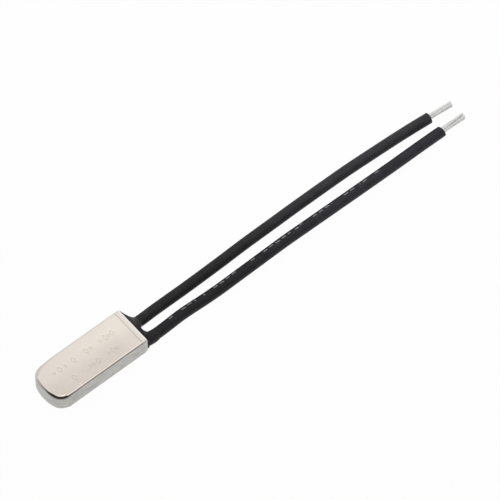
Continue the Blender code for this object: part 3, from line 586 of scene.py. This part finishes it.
def printed_marks(tree):
    """Row of short worn dashes along the lead, 0 to 1."""
    layout = add_node(tree, "ShaderNodeUVMap", uv_map="length_and_turn").outputs["UV"]
    length, turn, _ = split(tree, layout)
    across = product(tree, calculate(tree, "SUBTRACT", turn, PRINT_TURN), math.pi * LEAD_DIAMETER)
    slanted = calculate(tree, "ADD", length, product(tree, across, PRINT_SLANT))
    pitched = calculate(tree, "DIVIDE", slanted, PRINT_PITCH)
    cell = calculate(tree, "FLOOR", pitched)
    chance = add_node(tree, "ShaderNodeTexWhiteNoise", {"W": cell}, noise_dimensions="1D")
    pick, height, _ = split(tree, chance.outputs["Color"])
    shown = calculate(tree, "GREATER_THAN", pick, PRINT_LEFT_OUT)
    dash = plateau(tree, calculate(tree, "FRACT", pitched), (0.04, 0.10), (0.76, 0.66))
    offset = product(tree, calculate(tree, "SUBTRACT", height, 0.5), PRINT_SCATTER)
    away = calculate(tree, "ABSOLUTE", calculate(tree, "SUBTRACT", across, offset))
    band = ramp(tree, away, *PRINT_HALF_WIDTH)
    groups = ramp(tree, noise(tree, layout, (0.42, 0.0, 0.0), 0.0), 0.40, 0.43)
    row = plateau(tree, length, PRINT_START, PRINT_STOP)
    worn = ramp(tree, noise(tree, layout, (5.0, 40.0, 0.0), 2.0), 0.28, 0.62, 0.25, 1.0)
    return product(tree, shown, dash, band, groups, row, worn)


def silicone(name, printed, shaded_near_tones, lit_far_tones):
    """Matte black extruded insulation with painted light that pales it along its length, with or without a
    printed row.
    """
    material, tree, shader = new_material(name)
    position = place(tree)
    cloud = ramp(tree, noise(tree, position, 0.55, 3.0), 0.32, 0.68)
    grain = noise(tree, position, (5.0, 11.0, 11.0), 4.0, 0.7)
    near = mix_colours(tree, cloud, *shaded_near_tones)
    far = mix_colours(tree, cloud, *lit_far_tones)
    # Painted light: darker near the can, paler towards the cut end
    even = mix_colours(tree, ramp(tree, split(tree, position)[0], *SILICONE_LIGHT_RAMP), near, far)
    tone = mix_colours(tree, ramp(tree, grain, 0.52, 0.80, 0.0, 0.5), even, SILICONE_SPECK)
    if printed:
        tone = mix_colours(tree, printed_marks(tree), tone, PRINT_TONE)
    dress(
        tree,
        shader,
        {
            "Base Color": tone,
            "Roughness": ramp(tree, grain, 0.3, 0.7, 0.50, 0.66),
            "Specular IOR Level": 0.32,
            "Normal": bump(tree, grain, 0.03, 0.5),
        },
    )
    return material


def metal(name, low, high, roughness, grain_scale, depth, metallic=1.0):
    """Metal whose colour and polish vary along its rolling or drawing lines."""
    material, tree, shader = new_material(name)
    position = place(tree)
    lines = noise(tree, position, grain_scale, 4.0, 0.6)
    cloud = noise(tree, position, 0.8, 3.0)
    mixed = product(tree, calculate(tree, "ADD", lines, cloud), 0.5)
    dress(
        tree,
        shader,
        {
            "Base Color": mix_colours(tree, ramp(tree, mixed, 0.36, 0.64), low, high),
            "Metallic": metallic,
            "Roughness": ramp(tree, lines, 0.30, 0.70, roughness * 0.8, roughness * 1.25),
            "Normal": bump(tree, lines, depth, 0.5),
        },
    )
    return material


def plastic(name, low, high, roughness, grain_scale, depth, transmission=0.0):
    """Moulded, pressed or rolled material with a mottled colour and a fine grain."""
    material, tree, shader = new_material(name)
    position = place(tree)
    grain = noise(tree, position, grain_scale, 5.0, 0.65)
    cloud = noise(tree, position, 0.7, 2.0)
    mixed = product(tree, calculate(tree, "ADD", grain, cloud), 0.5)
    dress(
        tree,
        shader,
        {
            "Base Color": mix_colours(tree, ramp(tree, mixed, 0.36, 0.64), low, high),
            "Roughness": ramp(tree, grain, 0.30, 0.70, roughness * 0.85, roughness * 1.15),
            "Transmission Weight": transmission,
            "Normal": bump(tree, grain, depth, 0.5),
        },
    )
    return material


# Mesh helpers


def link(name, mesh):
    """An object of the mesh, in the scene."""
    made = bpy.data.objects.new(name, mesh)
    bpy.context.scene.collection.objects.link(made)
    return made


def solid(name, body):
    """Object of a bmesh in millimetres, with its faces turned outward."""
    bmesh.ops.recalc_face_normals(body, faces=body.faces)
    mesh = bpy.data.meshes.new(name)
    body.to_mesh(mesh)
    body.free()
    return link(name, mesh)


def subtract(target, cutter):
    """Cut one object out of the other and delete the cutter."""
    modifier = target.modifiers.new("cut", "BOOLEAN")
    modifier.operation = "DIFFERENCE"
    modifier.solver = "EXACT"
    modifier.object = cutter
    bpy.context.view_layer.update()
    evaluated = target.evaluated_get(bpy.context.evaluated_depsgraph_get())
    result = bpy.data.meshes.new_from_object(evaluated)
    target.modifiers.clear()
    target.data = result
    bpy.data.objects.remove(cutter)


def give_material(mesh, material):
    """Make it the mesh's only material."""
    mesh.materials.clear()
    mesh.materials.append(material)


def finish_piece(piece, material, nodes, body="housing"):
    """Scale the piece to metres, give it its material and body, and hide the CAD nodes it stands for."""
    piece.data.transform(Matrix.Scale(MM, 4))
    give_material(piece.data, material)
    piece.data.polygons.foreach_set("use_smooth", [True] * len(piece.data.polygons))
    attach(piece, body)
    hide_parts(*nodes)
    return piece


def add_tube(body, rings):
    """Closed tube through rings of points, with a face over each end."""
    placed = [[body.verts.new(point) for point in ring] for ring in rings]
    count = len(rings[0])
    faces = []
    for before, after in zip(placed, placed[1:]):
        for index in range(count):
            following = (index + 1) % count
            corners = (before[index], before[following], after[following], after[index])
            faces.append(body.faces.new(corners))
    body.faces.new(list(reversed(placed[0])))
    body.faces.new(placed[-1])
    return faces


# Leads


def fine_route(route):
    """Close points along a route: straight over its first span, then curved through its points."""
    points = [Vector(point) for point in route]
    ghost = 2 * points[-1] - points[-2]
    chain = points + [ghost]
    fine = [points[0].lerp(points[1], part / STRAIGHT_PARTS) for part in range(STRAIGHT_PARTS)]
    for p0, p1, p2, p3 in zip(chain, chain[1:], chain[2:], chain[3:]):
        for part in range(CURVED_PARTS):
            t = part / CURVED_PARTS
            bend = (2 * p0 - 5 * p1 + 4 * p2 - p3) * t**2 + (3 * p1 - p0 - 3 * p2 + p3) * t**3
            fine.append(p1 + ((p2 - p0) * t + bend) / 2)
    fine.append(points[-1])
    return fine


def smooth_route(route, step):
    """Evenly spaced points on the lead's centreline, never lower than where the lead lies down."""
    fine = fine_route(route)
    travelled = [0.0]
    for before, after in zip(fine, fine[1:]):
        travelled.append(travelled[-1] + (after - before).length)
    count = round(travelled[-1] / step)
    chosen = []
    index = 0
    for number in range(count + 1):
        wanted = travelled[-1] * number / count
        while index < len(fine) - 2 and travelled[index + 1] < wanted:
            index += 1
        span = travelled[index + 1] - travelled[index]
        spot = fine[index].lerp(fine[index + 1], (wanted - travelled[index]) / span)
        spot.z = max(spot.z, LEAD_DIAMETER / 2)
        chosen.append(spot)
    return chosen


def frames_along(points):
    """(point, forward, sideways, upward) at each point of a route that never stands upright."""
    frames = []
    for index, point in enumerate(points):
        before = points[max(index - 1, 0)]
        after = points[min(index + 1, len(points) - 1)]
        forward = (after - before).normalized()
        sideways = Vector((0, 0, 1)).cross(forward).normalized()
        frames.append((point, forward, sideways, forward.cross(sideways)))
    return frames


def ring_at(frame_at, radius, sides, along=0.0, slant=0.0, lift=0.0):
    """Circle of points round the route; a slant moves its left side back."""
    point, forward, sideways, upward = frame_at
    centre = point + forward * along + upward * lift
    ring = []
    for index in range(sides):
        angle = 2 * math.pi * index / sides
        outward = upward * math.cos(angle) + sideways * math.sin(angle)
        ring.append(centre + outward * radius - forward * (slant * (1 + math.sin(angle)) / 2))
    return ring


def cut_end_rings(end, slant):
    """Rings of a cut end: its rounded rim, then the shallow hole round the strands."""
    rings = []
    for part in range(CUT_STEPS + 1):
        angle = math.pi / 2 * part / CUT_STEPS
        radius = LEAD_DIAMETER / 2 - CUT_ROUNDING * (1 - math.cos(angle))
        along = CUT_ROUNDING * (math.sin(angle) - 1)
        rings.append(ring_at(end, radius, LEAD_SIDES, along, slant))
    middle = -slant / 2
    for radius, along in (
        (CUT_HOLE_RADIUS + CUT_CHAMFER_WIDTH, middle),
        (CUT_HOLE_RADIUS, middle - CUT_CHAMFER_DEPTH),
        (CUT_HOLE_RADIUS, -CUT_HOLE_DEPTH),
    ):
        rings.append(ring_at(end, radius, LEAD_SIDES, along, lift=CORE_LIFT))
    return rings


def lead_mesh(name, points, slant):
    """Tube along the route with a cut end, laid out by length and turn."""
    frames = frames_along(points)
    rings = [ring_at(item, LEAD_DIAMETER / 2, LEAD_SIDES) for item in frames[:-1]]
    lengths = [(point - points[0]).length for point in points[:-1]]
    rings += cut_end_rings(frames[-1], slant)
    lengths += [(points[-1] - points[0]).length] * (len(rings) - len(lengths))

    body = bmesh.new()
    layout = body.loops.layers.uv.new("length_and_turn")
    faces = add_tube(body, rings)
    for number, face in enumerate(faces):
        ring, side = divmod(number, LEAD_SIDES)
        turns = (side, side + 1, side + 1, side)
        alongs = (ring, ring, ring + 1, ring + 1)
        for loop, turn, along in zip(face.loops, turns, alongs):
            loop[layout].uv = (lengths[along], turn / LEAD_SIDES)
    return solid(name, body)


def strand_frame(end, aside, along, angle=0.0, radial=0.0):
    """Frame on a strand's axis: that far along the tip and from the middle of the bundle."""
    point, forward, sideways, upward = end
    centre = point + forward * along + upward * CORE_LIFT + sideways * aside
    centre += (upward * math.cos(angle) + sideways * math.sin(angle)) * radial
    return centre, forward, sideways, upward


def add_strand(body, frames):
    """Tube through the frames with a rounded end."""
    radius = STRAND_DIAMETER / 2
    rings = [ring_at(item, radius, STRAND_SIDES) for item in frames]
    rings += [ring_at(frames[-1], radius * share, STRAND_SIDES, beyond) for share, beyond in STRAND_END]
    add_tube(body, rings)


def tip_mesh(name, points, seed, bundle_radius, aside):
    """Twisted strands round a straight one; they spread a little towards their cut ends."""
    chance = random.Random(seed)
    end = frames_along(points)[-1]
    body = bmesh.new()
    for strand in range(STRANDS):
        length = TIP_LENGTH - chance.uniform(*STRAND_SHORTER)
        flare = BUNDLE_FLARE * chance.uniform(*STRAND_FLARE)
        turn = BUNDLE_TURN + chance.uniform(*STRAND_TURN)
        frames = []
        for step in range(STRAND_STEPS + 1):
            along = -CUT_HOLE_DEPTH + (length + CUT_HOLE_DEPTH) * step / STRAND_STEPS
            part = max(along, 0.0) / TIP_LENGTH
            radial = bundle_radius + flare * part**BUNDLE_FLARE_POWER
            angle = strand * 2 * math.pi / STRANDS + turn * part
            frames.append(strand_frame(end, aside, along, angle, radial))
        add_strand(body, frames)
    middle = (-CUT_HOLE_DEPTH, TIP_LENGTH - MIDDLE_STRAND_BACK)
    add_strand(body, [strand_frame(end, aside, along) for along in middle])
    return solid(name, body)


def make_leads():
    """Both leads, each with its insulation and its stripped tip."""
    tinned = metal("tinned_strands", *METALS["tinned_strands"])
    plain = silicone("silicone_plain", False, *SILICONE_A)
    printed = silicone("silicone_printed", True, *SILICONE_B)
    specs = (
        ("lead_wire_a", "lead_tip_a", "lead_a", LEAD_A_ROUTE, plain, CUT_SLANT_A, TIP_A),
        ("lead_wire_b", "lead_tip_b", "lead_b", LEAD_B_ROUTE, printed, CUT_SLANT_B, TIP_B),
    )
    for wire_name, tip_name, node, route, rubber, slant, strands in specs:
        points = smooth_route(route, LEAD_STEP)
        tip = finish_piece(tip_mesh(tip_name, points, *strands), tinned, [f"{node}_tip"])
        wire = finish_piece(lead_mesh(wire_name, points, slant), rubber, [node])


# Can


def smooth_step(value):
    """Smooth change from 0 to 1 as the value goes from 0 to 1."""
    part = min(max(value, 0.0), 1.0)
    return part * part * (3 - 2 * part)


def can_outline():
    """Points of the can's plan and their outward directions, from the mouth round and back."""
    corner_y = CAN_WIDTH / 2 - CORNER_RADIUS
    end_x = CLOSED_X + END_RADIUS
    reach = END_RADIUS - CORNER_RADIUS
    corner_x = end_x - math.sqrt(reach**2 - corner_y**2)
    tangent = math.atan2(corner_y, end_x - corner_x)
    half = []
    for setback in SIDE_SETBACKS:
        half.append((Vector((MOUTH_X - setback, CAN_WIDTH / 2)), Vector((0.0, 1.0))))
    arcs = (
        (Vector((corner_x, corner_y)), CORNER_RADIUS, math.pi / 2, math.pi - tangent, CORNER_STEPS),
        (Vector((end_x, 0.0)), END_RADIUS, math.pi - tangent, math.pi, END_STEPS // 2),
    )
    for centre, radius, start, stop, steps in arcs:
        for step in range(steps):
            angle = start + (stop - start) * step / steps
            outward = Vector((math.cos(angle), math.sin(angle)))
            half.append((centre + outward * radius, outward))
    mirrored = [(Vector((p.x, -p.y)), Vector((n.x, -n.y))) for p, n in reversed(half)]
    middle = (Vector((CLOSED_X, 0.0)), Vector((-1.0, 0.0)))
    return half + [middle] + mirrored


def can_ring(outline, inset, height, setback=0.0):
    """One ring of the can; inset and height are functions of a point of the outline."""
    ring = []
    for point, outward in outline:
        moved = point - outward * inset(point)
        ring.append((min(moved.x, MOUTH_X - setback), moved.y, height(point)))
    return ring


def edge_radius(point):
    """Radius of the upper and lower edges, larger round the closed end's corners."""
    extra, (start, stop), (inner, width) = NEAR_EXTRA, NEAR_FADE, NEAR_GROWTH
    if point.y > 0:
        extra, (start, stop), (inner, width) = FAR_EXTRA, FAR_FADE, FAR_GROWTH
    closed = smooth_step((stop - point.x + CLOSED_X) / (stop - start))
    corner = smooth_step((abs(point.y) - inner) / width)
    middle = MIDDLE_SHARE * NEAR_EXTRA
    return EDGE_RADIUS + closed * (middle + (extra - middle) * corner)


def taper(point):
    """How far the can's surface draws in there, close to the mouth."""
    return MOUTH_TAPER * smooth_step((point.x - MOUTH_X + MOUTH_TAPER_LENGTH) / MOUTH_TAPER_LENGTH)


def border_height(point):
    """Height of the top face's border, which steps down to the lip at the mouth."""
    return CAN_HEIGHT - LIP_STEP * smooth_step((point.x - MOUTH_X + LIP_FADE_START) / LIP_FADE)


def can_rings(outline):
    """Rings from the flat underside up to the stamped face."""
    angles = [math.pi / 2 * step / EDGE_STEPS for step in range(EDGE_STEPS + 1)]
    rings = []
    for angle in angles:
        inset, rise = 1 - math.sin(angle), 1 - math.cos(angle)
        rings.append(
            can_ring(
                outline,
                lambda p: edge_radius(p) * inset + taper(p),
                lambda p: edge_radius(p) * rise + taper(p),
            )
        )
    for angle in angles:
        inset, drop = 1 - math.cos(angle), 1 - math.sin(angle)
        rings.append(
            can_ring(
                outline,
                lambda p: edge_radius(p) * inset + taper(p),
                lambda p: border_height(p) - edge_radius(p) * drop - taper(p),
            )
        )
    slope_end = LIP_BORDER + LIP_SLOPE
    for inset, height in (
        (LIP_BORDER - LIP_SUPPORT, border_height),
        (LIP_BORDER, border_height),
        (slope_end, lambda p: CAN_HEIGHT),
        (slope_end + LIP_SUPPORT, lambda p: CAN_HEIGHT),
    ):
        setback = LIP_LENGTH + inset - LIP_BORDER
        rings.append(can_ring(outline, lambda p: edge_radius(p) + inset, height, setback))
    return rings


def can_body():
    """Solid can, its mouth closed by one face whose edges are rounded."""
    body = bmesh.new()
    add_tube(body, can_rings(can_outline()))
    mouth = [face for face in body.faces if all(abs(v.co.x - MOUTH_X) < NEARLY for v in face.verts)]
    joined = bmesh.ops.dissolve_faces(body, faces=mouth, use_verts=False)["region"]
    edges = [edge for face in joined for edge in face.edges]
    bmesh.ops.bevel(
        body,
        geom=edges,
        offset=MOUTH_ROUNDING,
        segments=MOUTH_ROUNDING_STEPS,
        profile=0.5,
        affect="EDGES",
    )
    return solid("can_shell", body)


def can_hollow():
    """What is cut out of the can: its inside, carried on out of the mouth."""
    outline = can_outline()
    rings = []
    for height in (CAN_WALL, CAN_HEIGHT - CAN_WALL):
        ring = can_ring(outline, lambda p: CAN_WALL, lambda p: height)
        rings.append([(x + HOLLOW_BEYOND if x > MOUTH_X - NEARLY else x, y, z) for x, y, z in ring])
    body = bmesh.new()
    add_tube(body, rings)
    return solid("can_hollow", body)


def mark_lines():
    """Sides of the lozenges that fill the place of the stamped markings."""
    lines = []
    across = Vector((MARK_HALF_WIDTH, 0.0))
    upward = Vector((0.0, MARK_HALF_HEIGHT))
    for row_y, large, small in MARK_ROWS:
        sized = [(x, 1.0) for x in large] + [(x, MARK_SMALLER) for x in small]
        for x, size in sized:
            middle = Vector((x, row_y))
            steps = (across, upward, -across, -upward)
            corners = [middle + step * size for step in steps]
            lines += zip(corners, corners[1:] + corners[:1])
    return lines


def distance_to(point, start, end):
    """Distance from the point to the line between two others."""
    along = end - start
    part = min(max((point - start).dot(along) / along.length_squared, 0.0), 1.0)
    return (point - start - along * part).length


def divide_finely(body, geometry, lines):
    """Cut faces, edges and vertices by a grid that covers the marks; returns what they become."""
    ends = [end for line in lines for end in line]
    for axis in (0, 1):
        across = Vector((1.0 - axis, float(axis), 0.0))
        low = min(end[axis] for end in ends) - MARK_REACH
        high = max(end[axis] for end in ends) + MARK_REACH
        for step in range(round((high - low) / MARK_GRID) + 1):
            cut = bmesh.ops.bisect_plane(
                body,
                geom=geometry,
                dist=MARK_CUT_TOLERANCE,
                plane_co=across * (low + step * MARK_GRID),
                plane_no=across,
            )
            geometry = cut["geom"]
    return geometry


def sink_marks(can):
    """Divide the stamped face finely and press the marks into it."""
    body = bmesh.new()
    body.from_mesh(can.data)
    top = [face for face in body.faces if all(v.co.z > CAN_HEIGHT - NEARLY for v in face.verts)]
    edges = {edge for face in top for edge in face.edges}
    corners = {vertex for face in top for vertex in face.verts}
    lines = mark_lines()
    geometry = divide_finely(body, [*top, *edges, *corners], lines)
    for vertex in [item for item in geometry if isinstance(item, bmesh.types.BMVert)]:
        spot = vertex.co.xy
        close = [line for line in lines if (spot - line[0]).length < 2 * MARK_HALF_HEIGHT + MARK_REACH]
        if close:
            away = min(distance_to(spot, *line) for line in close)
            vertex.co.z -= MARK_DEPTH * (1 - smooth_step(away / MARK_REACH))
    body.to_mesh(can.data)
    body.free()


def make_can():
    """Hollow can with stamped marks, shaded by the size of its faces."""
    can = can_body()
    subtract(can, can_hollow())
    sink_marks(can)
    finish_piece(can, nickel_plate(), ["case"])
    shading = can.modifiers.new("shading", "WEIGHTED_NORMAL")
    shading.keep_sharp = True
    shading.weight = 100


# Potting


def seal_height(y, z, axes):
    """How far the potting stands out of the mouth there: a dome that climbs each lead."""
    across = y / (CAN_WIDTH / 2 - CAN_WALL)
    upward = z / (CAN_HEIGHT / 2) - 1
    run_y, run_z, run_out, run_size = SEAL_RUN
    run = run_out * math.exp(-(((y - run_y) ** 2 + (z - run_z) ** 2) / run_size**2))
    dome = SEAL_RISE * (1 - across**4) * (1 - upward**2) + SEAL_EDGE + run
    height = dome
    for _ in range(SEAL_PASSES):
        rise = dome
        for route in axes:
            axis = min(route, key=lambda point: abs(point.x - MOUTH_X - height))
            away = max(math.hypot(y - axis.y, z - axis.z) - LEAD_DIAMETER / 2, 0.0)
            rise += SEAL_CLIMB * math.exp(-away / SEAL_REACH)
        height = rise
    return height


def add_dome(body, axes):
    """Block of potting in the mouth with a finely divided front."""
    half_width = CAN_WIDTH / 2 - CAN_WALL - SEAL_GAP
    half_height = CAN_HEIGHT / 2 - CAN_WALL - SEAL_GAP
    columns = round(2 * half_width / SEAL_STEP)
    rows = round(2 * half_height / SEAL_STEP)
    back, front = {}, {}
    for row in range(rows + 1):
        for column in range(columns + 1):
            y = (2 * column / columns - 1) * half_width
            z = CAN_HEIGHT / 2 + (2 * row / rows - 1) * half_height
            back[column, row] = body.verts.new((SEAL_BACK_X, y, z))
            front[column, row] = body.verts.new((MOUTH_X + seal_height(y, z, axes), y, z))
    for row in range(rows):
        for column in range(columns):
            corners = ((column, row), (column + 1, row), (column + 1, row + 1), (column, row + 1))
            for layer in (back, front):
                body.faces.new([layer[corner] for corner in corners])
    border = [(column, 0) for column in range(columns)]
    border += [(columns, row) for row in range(rows)]
    border += [(column, rows) for column in range(columns, 0, -1)]
    border += [(0, row) for row in range(rows, 0, -1)]
    for here, there in zip(border, border[1:] + border[:1]):
        body.faces.new((back[here], back[there], front[there], front[here]))


def add_collar(body, points, reach, thickest):
    """Thin skin of potting drawn out along a lead, thickest low on its near side."""
    frames = frames_along(points)
    near = [item for item in frames if MOUTH_X - COLLAR_ROOT < item[0].x < MOUTH_X + reach]
    start, stop = near[0][0].x, near[-1][0].x
    rings = []
    for point, _, sideways, upward in near:
        part = (point.x - start) / (stop - start)
        ring = []
        for index in range(COLLAR_SIDES):
            angle = 2 * math.pi * index / COLLAR_SIDES
            lean = 0.5 + 0.5 * math.cos(angle - COLLAR_THICK_TURN)
            share = COLLAR_THIN_SHARE + (1 - COLLAR_THIN_SHARE) * lean
            thickness = thickest * share * (1 - part**4) - COLLAR_SINK * part
            outward = upward * math.cos(angle) + sideways * math.sin(angle)
            ring.append(point + outward * (LEAD_DIAMETER / 2 + thickness))
        rings.append(ring)
    add_tube(body, rings)


def make_seal():
    """Potting in the mouth and along both leads."""
    routes = [smooth_route(route, LEAD_STEP) for route in (LEAD_A_ROUTE, LEAD_B_ROUTE)]
    axes = [[point for point in route if point.x < MOUTH_X + SEAL_AXIS_REACH] for route in routes]
    body = bmesh.new()
    add_dome(body, axes)
    for route, (reach, thickest) in zip(routes, COLLARS):
        add_collar(body, route, reach, thickest)
    finish_piece(solid("potting", body), potting_resin(), ["epoxy_seal"])


# Inside


def dress_cad_nodes():
    """Materials for the pieces inside the can, which keep their CAD form."""
    for name, nodes in INNER_PIECES.items():
        material = metal(name, *METALS[name]) if name in METALS else plastic(name, *PLASTICS[name])
        for node in nodes:
            give_material(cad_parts[node].data, material)


# Studio


def make_floor():
    """White floor that keeps a little of the object's shadow."""
    mesh = bpy.data.meshes.new("floor")
    near, far = -FLOOR_REACH, FLOOR_REACH
    mesh.from_pydata([(near, near, 0), (far, near, 0), (far, far, 0), (near, far, 0)], [], [(0, 1, 2, 3)])
    floor = link("floor", mesh)
    floor.location.z = -FLOOR_DROP * MM
    material, tree, shader = new_material("floor_paper")
    pale = mix_colours(tree, noise(tree, place(tree), 0.2, 3.0), *FLOOR_TONES)
    dress(tree, shader, {"Base Color": pale, "Roughness": 0.9, "Specular IOR Level": 0.1})
    rays = add_node(tree, "ShaderNodeLightPath").outputs
    seen = rays["Is Camera Ray"]
    for kind in ("Is Glossy Ray", "Is Transmission Ray"):
        seen = calculate(tree, "MAXIMUM", seen, rays[kind])
    white = add_node(tree, "ShaderNodeEmission", {"Color": (1.0, 1.0, 1.0, 1.0), "Strength": 1.0})
    share = product(tree, seen, FLOOR_WHITE)
    mixed = add_node(tree, "ShaderNodeMixShader", {0: share, 1: shader.outputs[0], 2: white.outputs[0]})
    tree.links.new(mixed.outputs[0], tree.nodes["Material Output"].inputs["Surface"])
    mesh.materials.append(material)


def facing(tree, direction, toward, start, stop):
    """1 where the direction points toward a unit vector, fading between two cosines."""
    inputs = {0: direction, 1: toward}
    aligned = add_node(tree, "ShaderNodeVectorMath", inputs, operation="DOT_PRODUCT").outputs["Value"]
    return ramp(tree, aligned, start, stop)


def make_world():
    """Soft studio: brightest overhead, pale all round, with a dark sector on the camera's side."""
    world = bpy.data.worlds.new("studio")
    world.use_nodes = True
    bpy.context.scene.world = world
    tree = world.node_tree
    direction = add_node(tree, "ShaderNodeTexCoord").outputs["Generated"]
    height = split(tree, direction)[2]
    level = stretch(tree, direction, (1.0, 1.0, 0.0))
    level = add_node(tree, "ShaderNodeVectorMath", {0: level}, operation="NORMALIZE").outputs[0]
    camera_side = view_direction()
    camera_level = Vector((camera_side.x, camera_side.y, 0.0)).normalized()
    sector_middle = Matrix.Rotation(SECTOR_TURN, 3, "Z") @ camera_level

    dome = mix_colours(tree, ramp(tree, height, 0.0, 0.45), SKY_HORIZON, SKY_ABOVE)
    glow = mix_colours(tree, ramp(tree, height, 0.70, 1.0), dome, SKY_OVERHEAD)
    patch = facing(tree, direction, Vector(SKY_PATCH_MIDDLE).normalized(), 0.955, 0.99)
    bright = mix_colours(tree, patch, glow, SKY_PATCH)
    sector = facing(tree, level, sector_middle, -0.08, 0.36)
    dark = product(tree, sector, ramp(tree, height, 0.94, 0.87))
    deep = mix_colours(tree, ramp(tree, height, 0.50, 0.72), SECTOR_LOW, SECTOR_HIGH)
    painted = mix_colours(tree, dark, bright, deep)
    tree.links.new(painted, tree.nodes["Background"].inputs["Color"])


make_camera()
make_leads()
make_can()
make_seal()
dress_cad_nodes()
make_floor()
make_world()
bpy.context.scene.view_settings.view_transform = "Standard"
